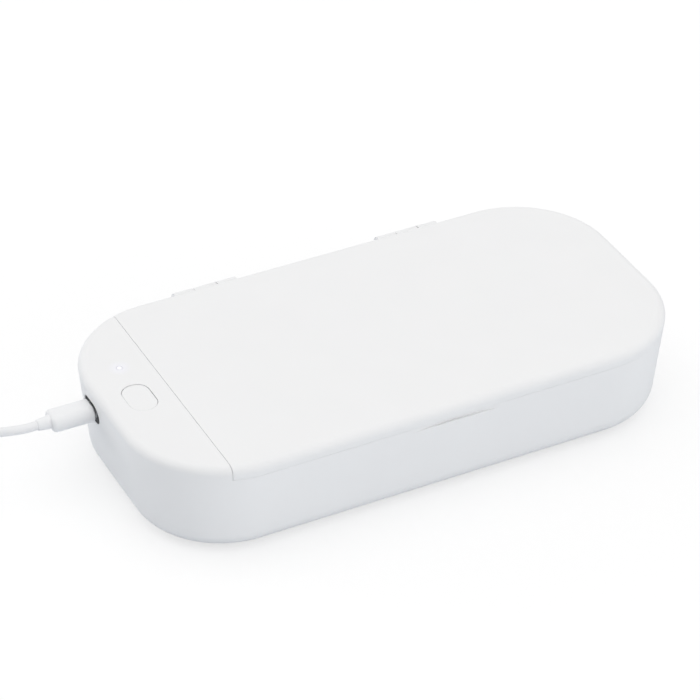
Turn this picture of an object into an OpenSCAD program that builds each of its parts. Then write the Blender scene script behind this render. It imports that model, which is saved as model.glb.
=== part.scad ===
// Sanitizer box for a phone: a shallow case with a hinged lid, a mirrored chamber
// with ultraviolet lamps under its floor, a control end with one button and one
// indicator, and a supply cord that plugs into the left end.
// X runs along the length with the control end at -X, Y runs to the hinges, Z is up.
// The case stands on its rubber feet at Z = 0.

/* [Body] */
// Length of the case
body_l = 220; // [205:1:240]
// Width of the case without its hinges
body_w = 111; // [104:1:120]
// Height of the case without its feet
body_h = 40; // [38:0.5:46]
// Radius of the case's corners seen from above
corner_r = 38; // [34:1:42]
// Radius of the round along the top edge
top_r = 3.2; // [2.8:0.1:4]
// Radius of the round along the bottom edge
bottom_r = 8; // [6:0.5:9]
// How far the wall draws in between its top and the bottom round
side_draft = 2.8; // [1.5:0.1:3.4]
// Thickness of the case's wall
wall = 2.2; // [1.8:0.1:2.4]
// Gap between the case's pieces where one seats in another
seat_gap = 0.25; // [0.2:0.05:0.3]

/* [Lid] */
// Height of the lid from its lower edge to its top
lid_h = 5.5; // [5.2:0.1:6]
// Length of the control deck that the lid leaves free
deck_l = 26; // [24:0.5:28]
// Thickness of the lid's outer wall
lid_wall = 2; // [1.8:0.1:2.2]
// Gap between the closed lid and the deck's face
lid_gap = 0.3; // [0.25:0.05:0.4]
// Gap between the closed lid and the case's rim
rim_gap = 0.2; // [0.15:0.05:0.3]
// Thickness of the lid's inner panel
liner_t = 1.5; // [1.3:0.1:1.6]
// Depth of the lip that shades the lid's joint
lip_h = 2.4; // [1.8:0.1:3]
// Thickness of that lip
lip_t = 1.4; // [1:0.1:1.8]
// Gap between the lip and the chamber's wall
lip_gap = 0.9; // [0.7:0.1:1.2]
// Thickness of the reflector sheet in the lid
reflector_t = 0.4; // [0.3:0.1:0.5]
// Length of the finger notch in the case's front edge
notch_l = 41; // [30:1:46]
// Depth of the finger notch at its middle
notch_deep = 1.3; // [0.8:0.1:1.4]
// Height of the finger notch
notch_h = 1.8; // [1.2:0.1:2.4]
// Distance of the finger notch from the middle of the case
notch_x = 5; // [0:1:12]

/* [Hinges] */
// Distance of each hinge from the middle of the case
hinge_x = 43.5; // [38:0.5:48]
// Length of each outer knuckle
outer_knuckle = 8; // [6:0.5:9]
// Room for the lid's knuckle between the outer ones
inner_room = 10; // [8:0.5:12]
// Radius of the knuckles
knuckle_r = 3.2; // [2.9:0.1:3.4]
// Distance of the hinge's axis behind the case
axis_out = 1.6; // [1.4:0.1:2]
// Radius of the hinge pins
pin_r = 1; // [0.8:0.1:1.2]
// Clearance of a pin in the case's knuckles
pin_hold = 0.02; // [0.01:0.01:0.03]
// Clearance of a pin in the lid's knuckle
pin_play = 0.06; // [0.04:0.01:0.08]
// Gap between the knuckles and what they turn beside
knuckle_gap = 0.3; // [0.3:0.05:0.4]
// How far each pin ends inside its hinge
pin_short = 0.6; // [0.4:0.1:1]

/* [Chamber] */
// Distance from the case's outline to the chamber's edge
rim_w = 9; // [8.5:0.1:10]
// Distance from the deck's face to the chamber's edge
bay_rim = 6; // [5:0.5:7]
// Radius of the chamber's corners beside the deck
bay_corner_r = 16; // [14:1:20]
// Thickness of the tray that lines the chamber
tray_t = 1.5; // [1.2:0.1:1.6]
// Radius of the round between the tray's wall and floor
tray_r = 6; // [5:0.5:7]
// How far the tray's wall draws in towards its floor
tray_draft = 1.6; // [1:0.1:2]
// Space under the tray's floor for the lamps
under_tray = 5.2; // [5:0.1:5.6]
// Width of the ledge that carries the tray's flange
ledge_w = 1.6; // [1.2:0.1:1.8]
// Height of that ledge
ledge_h = 2; // [1.5:0.1:2.5]
// Height of the support ribs under the phone
rib_h = 4.5; // [3.5:0.5:6]
// Width of a support rib
rib_w = 3; // [2.5:0.1:4]
// Length of a support rib
rib_l = 66; // [54:1:70]
// Radius of the pegs that hold a support rib
peg_r = 1.2; // [1:0.1:1.4]

/* [Lamps] */
// Distance between lamps along the case
lamp_pitch_x = 50; // [46:1:52]
// Distance between the two rows of lamps
lamp_pitch_y = 40; // [34:1:44]
// Radius of the window over each lamp
lens_r = 3.5; // [3:0.1:4]
// Height of the window's dome above the tray's floor
dome_h = 1.2; // [1:0.1:1.8]
// Length of the lamp board
lamp_board_l = 130; // [122:1:136]
// Width of the lamp board
lamp_board_w = 56; // [54:1:60]
// Thickness of the lamp board
lamp_board_t = 1.2; // [1:0.1:1.4]
// Width of one lamp
lamp_w = 3.5; // [3:0.1:4]
// Height of one lamp
lamp_h = 1.2; // [1:0.1:1.3]
// Height of the pillars under the lamp board
pillar_h = 1.2; // [1:0.1:1.3]

/* [Base] */
// Thickness of the bottom cover
cover_t = 1.8; // [1.6:0.1:2]
// Distance from the case's outline to the bottom cover
cover_in = 14; // [13.5:0.1:15]
// Width of the ledge that the bottom cover is screwed to
cover_ledge = 3.5; // [3:0.1:4]
// Radius of the cover screws
screw_r = 1.2; // [1:0.1:1.3]
// Radius of the cover screws' heads
head_r = 2.4; // [2.2:0.1:2.6]
// Height of the screws' heads
head_h = 0.9; // [0.7:0.1:1]
// Radius of the rubber feet
foot_r = 5; // [4:0.5:6]
// How far the feet stand below the case
foot_proud = 1; // [0.8:0.1:1.5]
// How deep the feet are let into the bottom cover
foot_sunk = 0.6; // [0.4:0.1:0.8]

/* [Controls] */
// Length of the button across the case
button_l = 16.5; // [14:0.5:18]
// Width of the button along the case
button_w = 10.5; // [9.5:0.1:11]
// Radius of the button's corners
button_r = 5; // [4:0.1:5.2]
// Distance of the button from the case's left end
button_x = 13.8; // [13.5:0.1:14.2]
// Gap round the button
button_gap = 0.2; // [0.2:0.05:0.35]
// How far the button's top lies below the deck
button_sunk = 0.1; // [0.05:0.05:0.2]
// How far the button travels
button_travel = 0.6; // [0.4:0.1:0.8]
// Radius of the indicator's light pipe
pipe_r = 1.2; // [1:0.1:1.5]
// Distance of the light pipe behind the button's middle
pipe_y = 20; // [17:0.5:22]
// Thickness of the control board
board_t = 1.6; // [1.2:0.1:1.8]

/* [Port] */
// Height of the port's middle above the table
port_z = 30; // [28.5:0.1:30.2]
// Distance of the port behind the case's middle
port_y = 14.8; // [13.5:0.1:16]
// Width of the port's hole in the case
port_w = 13.7; // [13.2:0.1:14.5]
// Height of the port's hole in the case
port_h = 8.6; // [8:0.1:8.8]
// Distance from the case's face to the socket's mouth
mouth_in = 0.35; // [0.3:0.05:0.6]
// Clearance of the dark ring between the socket and the port's hole
ring_gap = 0.05; // [0.02:0.01:0.08]
// Distance between the plug's grip and the socket's mouth
grip_gap = 0.9; // [0.6:0.05:1]
// Width of the socket's metal shell
socket_w = 8.94; // [8.9:0.01:9]
// Height of the socket's metal shell
socket_h = 3.2; // [3.16:0.01:3.24]
// Length of the socket
socket_l = 7.4; // [7:0.1:7.8]
// Thickness of the socket's and the plug's metal
sheet_t = 0.3; // [0.28:0.01:0.32]
// Clearance of the plug's shell in the socket
plug_play = 0.06; // [0.04:0.01:0.08]

/* [Cord] */
// Diameter of the cord
cord_d = 3.5; // [3.2:0.1:3.7]
// Width of the grip on the small plug
grip_w = 10.5; // [9.5:0.1:11]
// Height of the grip on the small plug
grip_h = 6.6; // [6:0.1:7]
// Length of the grip on the small plug
grip_l = 16.25; // [15:0.05:18]
// Diameter of the sleeve where the cord enters the small plug
sleeve_d = 5.2; // [4.8:0.1:5.6]
// Length of that sleeve
sleeve_l = 5; // [4:0.5:6]
// Distance between neighbouring turns of the coiled cord
turn_pitch = 4.1; // [4:0.05:4.3]
// Distance between the two layers of the coiled cord
layer_pitch = 4; // [3.95:0.05:4.2]
// Mean radius of the coiled cord's turns
turn_r = 19.7; // [18.5:0.1:21]
// Thickness of the tie round the coil
tie_t = 0.45; // [0.4:0.05:0.5]
// Width of the tie
tie_w = 5; // [4:0.5:5]

/* [Hidden] */
$fn = 64;

// Heights of the case
floor_z = foot_proud;
top_z = floor_z + body_h;
rim_z = top_z - lid_h;
heel_z = floor_z + bottom_r;
knee_z = top_z - top_r;
wall_tilt = atan(side_draft / (knee_z - heel_z));
// The outline's inset where the rounds end and the flat core begins
core_in = 22;
// A leaning wall meets its rounds this far inside them, so that the two cross cleanly
tuck = 0.001;
// Cutting blocks reach this far past what they cut
past = 5;
far = 200;

// The deck's face, and the bulkhead behind it
seam_x = -body_l / 2 + deck_l;
bulkhead_t = wall;

// The hinge's axis
axis_y = body_w / 2 + axis_out;
axis_z = rim_z;
hinge_proud = axis_out + knuckle_r;
hinge_l = 2 * outer_knuckle + inner_room;

// The tray
flange_t = 1.5;
flange_z = rim_z - flange_t;
tray_under_z = floor_z + cover_t + under_tray;
tray_floor_z = tray_under_z + tray_t;
tray_tilt = atan(tray_draft / (rim_z - tray_under_z - tray_r));
tray_core = tray_r * 2 + tray_draft + 1;
chamber_a = seam_x + bay_rim;
chamber_b = body_l / 2 - rim_w;
chamber_half = body_w / 2 - rim_w;
chamber_mid = (chamber_a + chamber_b) / 2;
flange_in = wall_in(flange_z) + wall / cos(wall_tilt) + seat_gap;

// Lamps and ribs stand in a row along the chamber's middle
lamp_spots = [for (i = [-1:1], j = [-1, 1]) [chamber_mid + i * lamp_pitch_x, j * lamp_pitch_y / 2]];
rib_spots = [for (i = [-1.5, -0.5, 0.5, 1.5]) chamber_mid + i * lamp_pitch_x];
peg_y = rib_l / 2 - 6;
lamp_board_z = floor_z + cover_t + pillar_h;
pillar_r = 3;
pillar_in = 4;
pillar_spots = [for (i = [-1, 1], j = [-1, 1])
    [chamber_mid + i * (lamp_board_l / 2 - pillar_in), j * (lamp_board_w / 2 - pillar_in)]];
small_screw_r = 0.9;
small_head_r = 1.9;
small_head_h = 1;
screw_play = 0.05;
hole_play = 0.2;
window_lip = 1.1;
window_lip_h = 0.7;
lamp_glass_r = 1.2;
lamp_glass_h = 0.2;

// Screws round the bottom cover stand on the cover's ledge
cover_screw_in = cover_in + cover_ledge + 0.5;
boss_r = 3;
boss_top = tray_under_z - seat_gap;
cover_screw_spots = concat(corner_spots(cover_screw_in),
    [for (j = [-1, 1]) [0, j * (body_w / 2 - cover_screw_in)]]);
screw_tip = boss_top - 0.6;
foot_in = 27;
foot_spots = [for (i = [-1, 1], j = [-1, 1])
    [i * (body_l / 2 - foot_in - 8), j * (body_w / 2 - foot_in)]];

// The lid
lid_x = seam_x + lid_gap;
lid_low = rim_z + rim_gap;
liner_top = lid_low + liner_t;
liner_in = lid_wall + seat_gap;
lid_screw_in = 5.8;
lid_screw_r = 0.75;
lid_head_r = 1.7;
lid_head_h = 0.8;
lid_boss_r = 2.3;
lid_screw_tip = top_z - 1.4;
lid_screw_spots = [for (j = [-1, 1], x = [seam_x + 9, notch_x, corner_x(lid_screw_in)])
    [x, x == corner_x(lid_screw_in) ? j * corner_y(lid_screw_in) : j * (body_w / 2 - lid_screw_in)]];

// The magnets that hold the lid, and the one that its sensor feels
magnet_l = 12;
magnet_w = 2.6;
magnet_h = 2.4;
lid_magnet_h = 1.4;
magnet_x = 45;
magnet_y = -body_w / 2 + flange_in + ledge_w + seat_gap + magnet_w / 2 + 0.25;
sensor_y = -20;
sensor_magnet_l = 3;
sensor_magnet_w = 6;
sensor_magnet_x = lid_x + lid_wall + seat_gap + sensor_magnet_l / 2 + 0.3;

// Buffers on the tray's flange
buffer_r = 2.2;
buffer_sunk = 0.5;
buffer_proud = rim_gap / 2;
buffer_in = flange_in + buffer_r + 0.8;
buffer_spots = [for (x = [seam_x + 16, body_l / 2 - corner_r - 6], j = [-1, 1])
    [x, j * (body_w / 2 - buffer_in)]];

// The control board hangs from posts under the deck, level with the socket
board_top = port_z - socket_h / 2;
board_low = board_top - board_t;
deck_low = top_z - wall;
board_in = wall + 1.7;
board_half = 36;
board_gap = 1.4;
parts_x = seam_x - bulkhead_t - 11;
driver = [5, 4, 1.5];
driver_y = 4;
controller = [7, 5, 1.2];
controller_y = -22;
inductor_r = 3;
inductor_y = 22;
capacitor = [2.4, 1.6, 1];
capacitor_ys = [12, 15.5];
board_x = seam_x - bulkhead_t - board_gap;
post_r = 2.6;
post_spots = [[seam_x - 15, -24], [seam_x - 7, -32], [seam_x - 7, 32], [seam_x - 15, 27]];
post_bore = 5;

// The button and its switch
cap_x = -body_l / 2 + button_x;
cap_flange = 1.2;
cap_flange_h = 1.2;
cap_top = top_z - button_sunk;
cap_rest_gap = 0.15;
cap_floor = 1.4;
switch_w = 6;
switch_h = 3.4;
plunger_r = 1.7;
plunger_proud = 1.5;
plunger_deep = 1;
plunger_play = 0.1;
plunger_top = board_top + switch_h + plunger_proud;
stem_r = 2.2;

// The light pipe and the indicator
pipe_x = cap_x + 0.7;
pipe_collar = 0.9;
pipe_collar_h = 1;
led_l = 2.8;
led_w = 3.5;
led_h = 1.2;
pipe_low = board_top + led_h + 0.2;

// The socket, and the plug in it
mouth_x = -body_l / 2 + wall_in(port_z) + mouth_in;
plug_in = 6.2;
tongue_w = 6.7;
tongue_h = 0.7;
tongue_l = 4.6;
tongue_root = 1.2;
plug_w = socket_w - 2 * sheet_t - 2 * plug_play;
plug_h = socket_h - 2 * sheet_t - 2 * plug_play;
grip_front = mouth_x - grip_gap;
grip_back = grip_front - grip_l;
sleeve_back = grip_back - sleeve_l;

// The lead from the control board to the lamp board
lead_r = 0.8;
lead_bend = 3;
lead_y = -12;
lead_x = seam_x - bulkhead_t - 4;
lead_z = lamp_board_z + lamp_board_t + 1.1;
plug_box = [4, 6, 3.4];
lead_end_x = chamber_mid - lamp_board_l / 2 + 2;
lead_hole_w = 5;

// The cord runs from the sleeve to the coil: points chosen by hand as steps along -X,
// sideways and down from the sleeve's end; the last two are level with the coil
cord_r = cord_d / 2;
cord_sides = 8;
coil_z = cord_r + tie_t + 0.05;
run_steps = [[0, 0, 0], [4, 0, 0], [9, 0.7, 0.1], [14, 2.2, 0], [20, 3.8, -1], [26, 5.4, -3.2],
    [32, 6.8, -6.6], [38, 8, -10.8], [44, 8.9, -15.4], [50, 9.6, -19.6], [56, 10, -23.2],
    [62, 10.2, -25.8]];
run_end = [72, 10.2];
run_points = concat(
    [for (p = run_steps) [sleeve_back - p.x, port_y + p.y, port_z + p.z * (port_z - coil_z) / (port_z - 2.25)]],
    [for (back = [cord_d + 0.5, 0]) [sleeve_back - run_end.x + back, port_y + run_end.y, coil_z]]);

// The coil: turns that wind in along the lower layer and out again along the upper one
coil_turns = 7.25;
rings_per_turn = 24;
coil_sides = 6;
coil_lead = cord_d;
coil_in = turn_r - turn_pitch * coil_turns / 4;
coil_out = turn_r + turn_pitch * coil_turns / 4;
coil_c = [last(run_points).x - coil_lead, last(run_points).y - coil_out];
coil_steps = coil_turns * rings_per_turn;
tail_l = 20;
tail_drop = [[0.35, 0], [0.6, 0.45], [0.8, 1], [1, 1]];
far_grip_h = 8;
far_z = far_grip_h / 2;
coil_points = concat([last(run_points)],
    [for (i = [0:coil_steps]) turn_point(i / coil_steps)],
    [for (t = tail_drop) [coil_c.x - coil_out, coil_c.y - t[0] * tail_l,
        coil_z + layer_pitch - t[1] * (coil_z + layer_pitch - far_z)]]);
tie_angle = 135;
tie_play = 0.35;

// The plug at the cord's far end
far_grip_w = 15;
far_grip_l = 24;
far_neck_l = 5;
far_neck_d = 6.4;
far_shell_w = 12;
far_shell_h = 4.5;
far_shell_l = 12;
far_core_h = 1.9;
far_edge_r = 2.5;
far_x = coil_c.x - coil_out;
far_y = coil_c.y - tail_l;

function last(list) = list[len(list) - 1];
// The wall's inset from the outline at height z
function wall_in(z) = side_draft * (knee_z - z) / (knee_z - heel_z);
// A place on the case's corner at 45 degrees, that far inside the outline
function corner_x(inset) = body_l / 2 - corner_r + (corner_r - inset) * cos(45);
function corner_y(inset) = body_w / 2 - corner_r + (corner_r - inset) * sin(45);
function corner_spots(inset) = [for (i = [-1, 1], j = [-1, 1]) [i * corner_x(inset), j * corner_y(inset)]];

// The share of the way from the start of a step to its end, with a soft start and end
function soft(t) = t <= 0 ? 0 : t >= 1 ? 1 : t * t * (3 - 2 * t);
// A point on the coil: the turns wind in for the first half and out for the second, and
// climb to the upper layer in the half turn round the middle
function turn_point(share) =
    let (turned = (share - 0.5) * coil_turns,
        r = coil_in + turn_pitch * abs(turned),
        a = 90 + share * coil_turns * 360)
    [coil_c.x + r * cos(a), coil_c.y + r * sin(a), coil_z + layer_pitch * soft(turned * 2 + 0.5)];
function unit(v) = v / norm(v);
function heading(points, i) =
    unit(points[min(i + 1, len(points) - 1)] - points[max(i - 1, 0)]);
// One ring of a tube, square to the tube's line
function ring(points, i, r, sides) =
    let (ahead = i == 0 ? unit(points[1] - points[0])
            : i == len(points) - 1 ? unit(points[i] - points[i - 1]) : heading(points, i),
        side = unit(cross([0, 0, 1], ahead)),
        up = cross(ahead, side))
    [for (k = [0:sides - 1]) points[i] + r * (cos(360 * (k + 0.5) / sides) * side
        + sin(360 * (k + 0.5) / sides) * up)];
function coil_gap() = min([for (i = [0:len(coil_points) - 1], j = [i + rings_per_turn / 2:len(coil_points) - 1])
    norm(coil_points[i] - coil_points[j])]) - cord_d;
function line_length(points) = len(points) < 2 ? 0
    : [for (i = [1:len(points) - 1]) norm(points[i] - points[i - 1])] * [for (i = [2:len(points)]) 1];
echo(coil_gap = coil_gap(), cord_length = line_length(run_points) + line_length(coil_points));

// Shifts the case so that the origin is under the middle of the whole, hinges included
module in_frame() {
    translate([0, -hinge_proud / 2, 0]) children();
}

// Carries a profile round a rounded rectangle from x_a to x_b: the profile's x is the
// way in from the outline, and its y is the height
module carry(x_a, x_b, half, r_a, r_b) {
    for (j = [0, 1]) mirror([0, j, 0]) {
        translate([x_b - r_b, half - r_b, 0])
            rotate_extrude(angle = 90) translate([r_b, 0]) mirror([1, 0]) children();
        translate([x_a + r_a, half - r_a, 0]) mirror([1, 0, 0])
            rotate_extrude(angle = 90) translate([r_a, 0]) mirror([1, 0]) children();
        translate([x_a + r_a, half, 0]) mirror([0, 1, 0]) rotate([90, 0, 90])
            linear_extrude(x_b - r_b - x_a - r_a) children();
    }
    translate([x_b, half - r_b, 0]) mirror([1, 0, 0]) rotate([90, 0, 0])
        linear_extrude(2 * (half - r_b)) children();
    translate([x_a, half - r_a, 0]) rotate([90, 0, 0])
        linear_extrude(2 * (half - r_a)) children();
}

// A rounded rectangle from x_a to x_b
module rounded(x_a, x_b, half, r_a, r_b) {
    polygon([[x_a + r_a, -half], [x_b - r_b, -half], [x_b, -half + r_b], [x_b, half - r_b],
        [x_b - r_b, half], [x_a + r_a, half], [x_a, half - r_a], [x_a, -half + r_a]]);
    for (j = [-1, 1]) {
        translate([x_a + r_a, j * (half - r_a)]) circle(r_a);
        translate([x_b - r_b, j * (half - r_b)]) circle(r_b);
    }
}

// The case's outline seen from above, drawn in by inset
module plan(inset) {
    rounded(-body_l / 2 + inset, body_l / 2 - inset, body_w / 2 - inset, corner_r - inset, corner_r - inset);
}

// A flat slice of the case's outline
module slice(inset, z, h) {
    translate([0, 0, z]) linear_extrude(h) plan(inset);
}

// Everything with x from one value to the next, up to a height
module between_x(x_a, x_b, low = -past, high = top_z + past) {
    translate([x_a, -far / 2, low]) cube([x_b - x_a, far, high - low]);
}

// The case's side: a leaning wall between two rounds, drawn in by a skin's thickness
module body_side(skin) {
    outward = [-cos(wall_tilt), -sin(wall_tilt)];
    low = [wall_in(heel_z) + bottom_r / cos(wall_tilt), heel_z];
    high = [wall_in(knee_z) + top_r / cos(wall_tilt), knee_z];
    polygon([[core_in, floor_z + skin], [low.x, floor_z + skin], low + (bottom_r - skin - tuck) * outward,
        high + (top_r - skin - tuck) * outward, [high.x, top_z - skin], [core_in, top_z - skin]]);
    translate(low) circle(bottom_r - skin);
    translate(high) circle(top_r - skin);
}

// The whole case as one block, drawn in by a skin's thickness
module body_block(skin) {
    carry(-body_l / 2, body_l / 2, body_w / 2, corner_r, corner_r) body_side(skin);
    slice(core_in, floor_z + skin, body_h - 2 * skin);
}

// The tray's side, drawn in by a skin's thickness and open to the height given
module tray_side(skin, high_z) {
    outward = [-cos(tray_tilt), -sin(tray_tilt)];
    low = [tray_draft + tray_r / cos(tray_tilt), tray_under_z + tray_r];
    top_in = tray_draft * (rim_z - high_z) / (rim_z - low.y) + skin / cos(tray_tilt);
    polygon([[tray_core, tray_under_z + skin], [low.x, tray_under_z + skin],
        low + (tray_r - skin - tuck) * outward, [top_in + tuck, high_z], [tray_core, high_z]]);
    translate(low) circle(tray_r - skin);
}

// The chamber as a block: the tray's outside with skin 0, its hollow with its thickness
module tray_block(skin, high_z) {
    r_b = corner_r - rim_w + tray_t;
    r_a = bay_corner_r + tray_t;
    carry(chamber_a - tray_t, chamber_b + tray_t, chamber_half + tray_t, r_a, r_b)
        tray_side(skin, high_z);
    translate([0, 0, tray_under_z + skin]) linear_extrude(high_z - tray_under_z - skin)
        rounded(chamber_a - tray_t + tray_core, chamber_b + tray_t - tray_core,
            chamber_half + tray_t - tray_core, r_a - tray_core, r_b - tray_core);
}

// A slot's outline: straight sides with half-round ends
module slot_shape(w, h) {
    square([w - h, h], center = true);
    for (i = [-1, 1]) translate([i * (w - h) / 2, 0]) circle(h / 2);
}

// A bar with a slot's outline, along X from x_a to x_b, at the port
module port_bar(w, h, x_a, x_b) {
    translate([x_a, port_y, port_z]) rotate([90, 0, 90]) linear_extrude(x_b - x_a) slot_shape(w, h);
}

// A cylinder along the hinge's axis, from x_a to x_b
module axis_bar(r, x_a, x_b) {
    translate([x_a, axis_y, axis_z]) rotate([0, 90, 0]) cylinder(r = r, h = x_b - x_a);
}

// The children at each hinge, drawn from its middle
module at_hinges() {
    for (i = [-1, 1]) translate([i * hinge_x, 0, 0]) children();
}

module at(spots) {
    for (p = spots) translate([p.x, p.y, 0]) children();
}

// The button's outline with a margin
module pill(margin) {
    rounded(-button_w / 2 - margin, button_w / 2 + margin, button_l / 2 + margin,
        button_r + margin, button_r + margin);
}

// The case's shell: walls, control deck, bulkhead and hinge knuckles in one moulding,
// open at the top for the chamber and at the bottom for the cover
module base_shell() {
    color("white") in_frame() difference() {
        union() {
            difference() {
                body_block(0);
                for (x = [[seam_x, body_l / 2], [-body_l / 2, seam_x - bulkhead_t]]) intersection() {
                    union() {
                        body_block(wall);
                        slice(cover_in + cover_ledge, floor_z - 1, wall + 2);
                    }
                    between_x(x[0], x[1]);
                }
                between_x(seam_x, body_l / 2 + past, rim_z);
            }
            tray_ledge();
            cover_ledge_ring();
            at(cover_screw_spots) translate([0, 0, floor_z + cover_t])
                cylinder(r = boss_r, h = boss_top - floor_z - cover_t);
            at(post_spots) translate([0, 0, board_top])
                cylinder(r = post_r, h = deck_low + wall / 2 - board_top);
            at_hinges() for (i = [-1, 1]) outer_part(i);
        }
        slice(cover_in, -past, past + floor_z + cover_t);
        at(cover_screw_spots) translate([0, 0, -past])
            cylinder(r = screw_r + screw_play, h = past + boss_top + 1);
        at(post_spots) translate([0, 0, board_top - 1])
            cylinder(r = small_screw_r + screw_play, h = post_bore + 1);
        translate([cap_x, 0, deck_low - 1]) linear_extrude(wall + past) pill(button_gap);
        translate([pipe_x, pipe_y, deck_low - 1]) cylinder(r = pipe_r + screw_play, h = wall + past);
        port_bar(port_w, port_h, -body_l / 2 - past, -body_l / 2 + wall_in(port_z) + wall + 1);
        finger_notch();
        at_hinges() {
            axis_bar(knuckle_r + knuckle_gap, -inner_room / 2, inner_room / 2);
            axis_bar(pin_r + pin_hold, -hinge_l / 2 - 1, hinge_l / 2 + 1);
        }
        translate([seam_x - bulkhead_t - 1, lead_y - lead_hole_w / 2, floor_z + wall - 1])
            cube([bulkhead_t + 2, lead_hole_w, lead_z + lead_r + 0.6 - floor_z - wall + 1]);
    }
}

// The ledge inside the wall and the bulkhead, on which the tray's flange lies
module tray_ledge() {
    intersection() {
        difference() {
            slice(wall / 2, flange_z - ledge_h, ledge_h);
            translate([0, 0, flange_z - ledge_h - 1]) linear_extrude(ledge_h + 2) intersection() {
                plan(flange_in + ledge_w);
                translate([seam_x + ledge_w, -far / 2]) square([far, far]);
            }
        }
        between_x(seam_x - bulkhead_t / 2, body_l / 2);
    }
}

// The ledge that the bottom cover is screwed to
module cover_ledge_ring() {
    difference() {
        slice(cover_in - 2, floor_z + cover_t, cover_t);
        slice(cover_in + cover_ledge, floor_z + cover_t - 1, cover_t + 2);
    }
}

// One outer knuckle, with the web that joins it to the case's wall
module outer_part(side) {
    x_a = side > 0 ? inner_room / 2 : -hinge_l / 2;
    axis_bar(knuckle_r, x_a, x_a + outer_knuckle);
    translate([x_a, body_w / 2 - wall / 2, axis_z - knuckle_r * 0.9])
        cube([outer_knuckle, axis_out + wall / 2, knuckle_r * 0.9]);
}

// The shallow scoop in the front edge, under the lid
module finger_notch() {
    r = (notch_l * notch_l / 4 + notch_deep * notch_deep) / (2 * notch_deep);
    translate([notch_x, -body_w / 2 - r + notch_deep, rim_z - notch_h])
        cylinder(r = r, h = notch_h + past, $fn = 360);
}

// The plate that closes the case from below
module bottom_cover() {
    color("whitesmoke") in_frame() difference() {
        union() {
            slice(cover_in + seat_gap, floor_z, cover_t);
            at(pillar_spots) translate([0, 0, floor_z]) cylinder(r = pillar_r, h = cover_t + pillar_h);
        }
        at(cover_screw_spots) {
            translate([0, 0, -past]) cylinder(r = screw_r + hole_play, h = far / 10);
            translate([0, 0, -past]) cylinder(r = head_r + hole_play, h = past + floor_z + head_h);
        }
        at(foot_spots) translate([0, 0, -past])
            cylinder(r = foot_r + hole_play / 2, h = past + floor_z + foot_sunk);
        at(pillar_spots) translate([0, 0, floor_z + 0.8])
            cylinder(r = small_screw_r + screw_play, h = far / 10);
    }
}

// A pan-headed screw that points up, with a cross slot under its head
module screw(r, head, head_height, length) {
    slot_w = head * 0.25;
    difference() {
        union() {
            cylinder(r = head, h = head_height);
            cylinder(r = r, h = length);
        }
        for (a = [0, 90]) rotate([0, 0, a])
            translate([-head * 0.6, -slot_w / 2, -1]) cube([head * 1.2, slot_w, 1 + head_height * 0.5]);
    }
}

module cover_screws() {
    color("silver") in_frame() at(cover_screw_spots) translate([0, 0, floor_z])
        screw(screw_r, head_r, head_h, screw_tip - floor_z);
}

module rubber_feet() {
    color("gainsboro") in_frame() at(foot_spots) cylinder(r = foot_r, h = floor_z + foot_sunk);
}

// The mirrored tray: a flange, a drafted wall, a round and a floor with lamp windows
module chamber_tray() {
    color("lightsteelblue") in_frame() difference() {
        union() {
            intersection() {
                slice(flange_in, flange_z, flange_t);
                between_x(seam_x + seat_gap, body_l / 2);
            }
            tray_block(0, flange_z + flange_t / 2);
        }
        tray_block(tray_t, rim_z + 1);
        at(lamp_spots) translate([0, 0, tray_under_z - 1]) cylinder(r = lens_r + hole_play / 2, h = tray_t + 2);
        for (x = rib_spots, j = [-1, 1]) translate([x, j * peg_y, tray_under_z - 1])
            cylinder(r = peg_r + screw_play, h = tray_t + 2);
        at(buffer_spots) translate([0, 0, rim_z - buffer_sunk]) cylinder(r = buffer_r + screw_play, h = past);
    }
}

// Soft ribs across the chamber's floor, which hold the phone above the lamps
module phone_ribs() {
    top = rib_h - rib_w / 2;
    color("gainsboro") in_frame() for (x = rib_spots) translate([x, 0, tray_floor_z]) {
        rotate([90, 0, 0]) linear_extrude(rib_l, center = true) {
            translate([-rib_w / 2, 0]) square([rib_w, top]);
            translate([0, top]) circle(rib_w / 2);
        }
        for (j = [-1, 1]) translate([0, j * peg_y, -tray_t]) cylinder(r = peg_r, h = tray_t + 0.5);
    }
}

module lamp_board() {
    color("seagreen") in_frame() difference() {
        translate([chamber_mid - lamp_board_l / 2, -lamp_board_w / 2, lamp_board_z])
            cube([lamp_board_l, lamp_board_w, lamp_board_t]);
        at(pillar_spots) translate([0, 0, lamp_board_z - 1])
            cylinder(r = small_screw_r + hole_play, h = lamp_board_t + 2);
    }
}

module lamp_board_screws() {
    top = lamp_board_z + lamp_board_t + small_head_h;
    color("silver") in_frame() at(pillar_spots) translate([0, 0, top]) mirror([0, 0, 1])
        screw(small_screw_r, small_head_r, small_head_h, top - floor_z - 1);
}

// Lamps: a ceramic body with a round glass on top
module uv_lamps() {
    color("khaki") in_frame() at(lamp_spots) translate([0, 0, lamp_board_z + lamp_board_t]) {
        translate([-lamp_w / 2, -lamp_w / 2, 0]) cube([lamp_w, lamp_w, lamp_h - lamp_glass_h]);
        translate([0, 0, lamp_h - lamp_glass_h]) cylinder(r = lamp_glass_r, h = lamp_glass_h);
    }
}

// Domed windows, put in from below: a lip under the floor and a dome above it
module lamp_windows() {
    ball = (lens_r * lens_r + dome_h * dome_h) / (2 * dome_h);
    color("aliceblue") in_frame() at(lamp_spots) {
        translate([0, 0, tray_under_z - window_lip_h]) cylinder(r = lens_r + window_lip, h = window_lip_h);
        translate([0, 0, tray_under_z]) cylinder(r = lens_r, h = tray_t);
        intersection() {
            translate([0, 0, tray_floor_z + dome_h - ball]) sphere(ball);
            translate([0, 0, tray_floor_z]) cylinder(r = lens_r, h = dome_h + 1);
        }
    }
}

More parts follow.
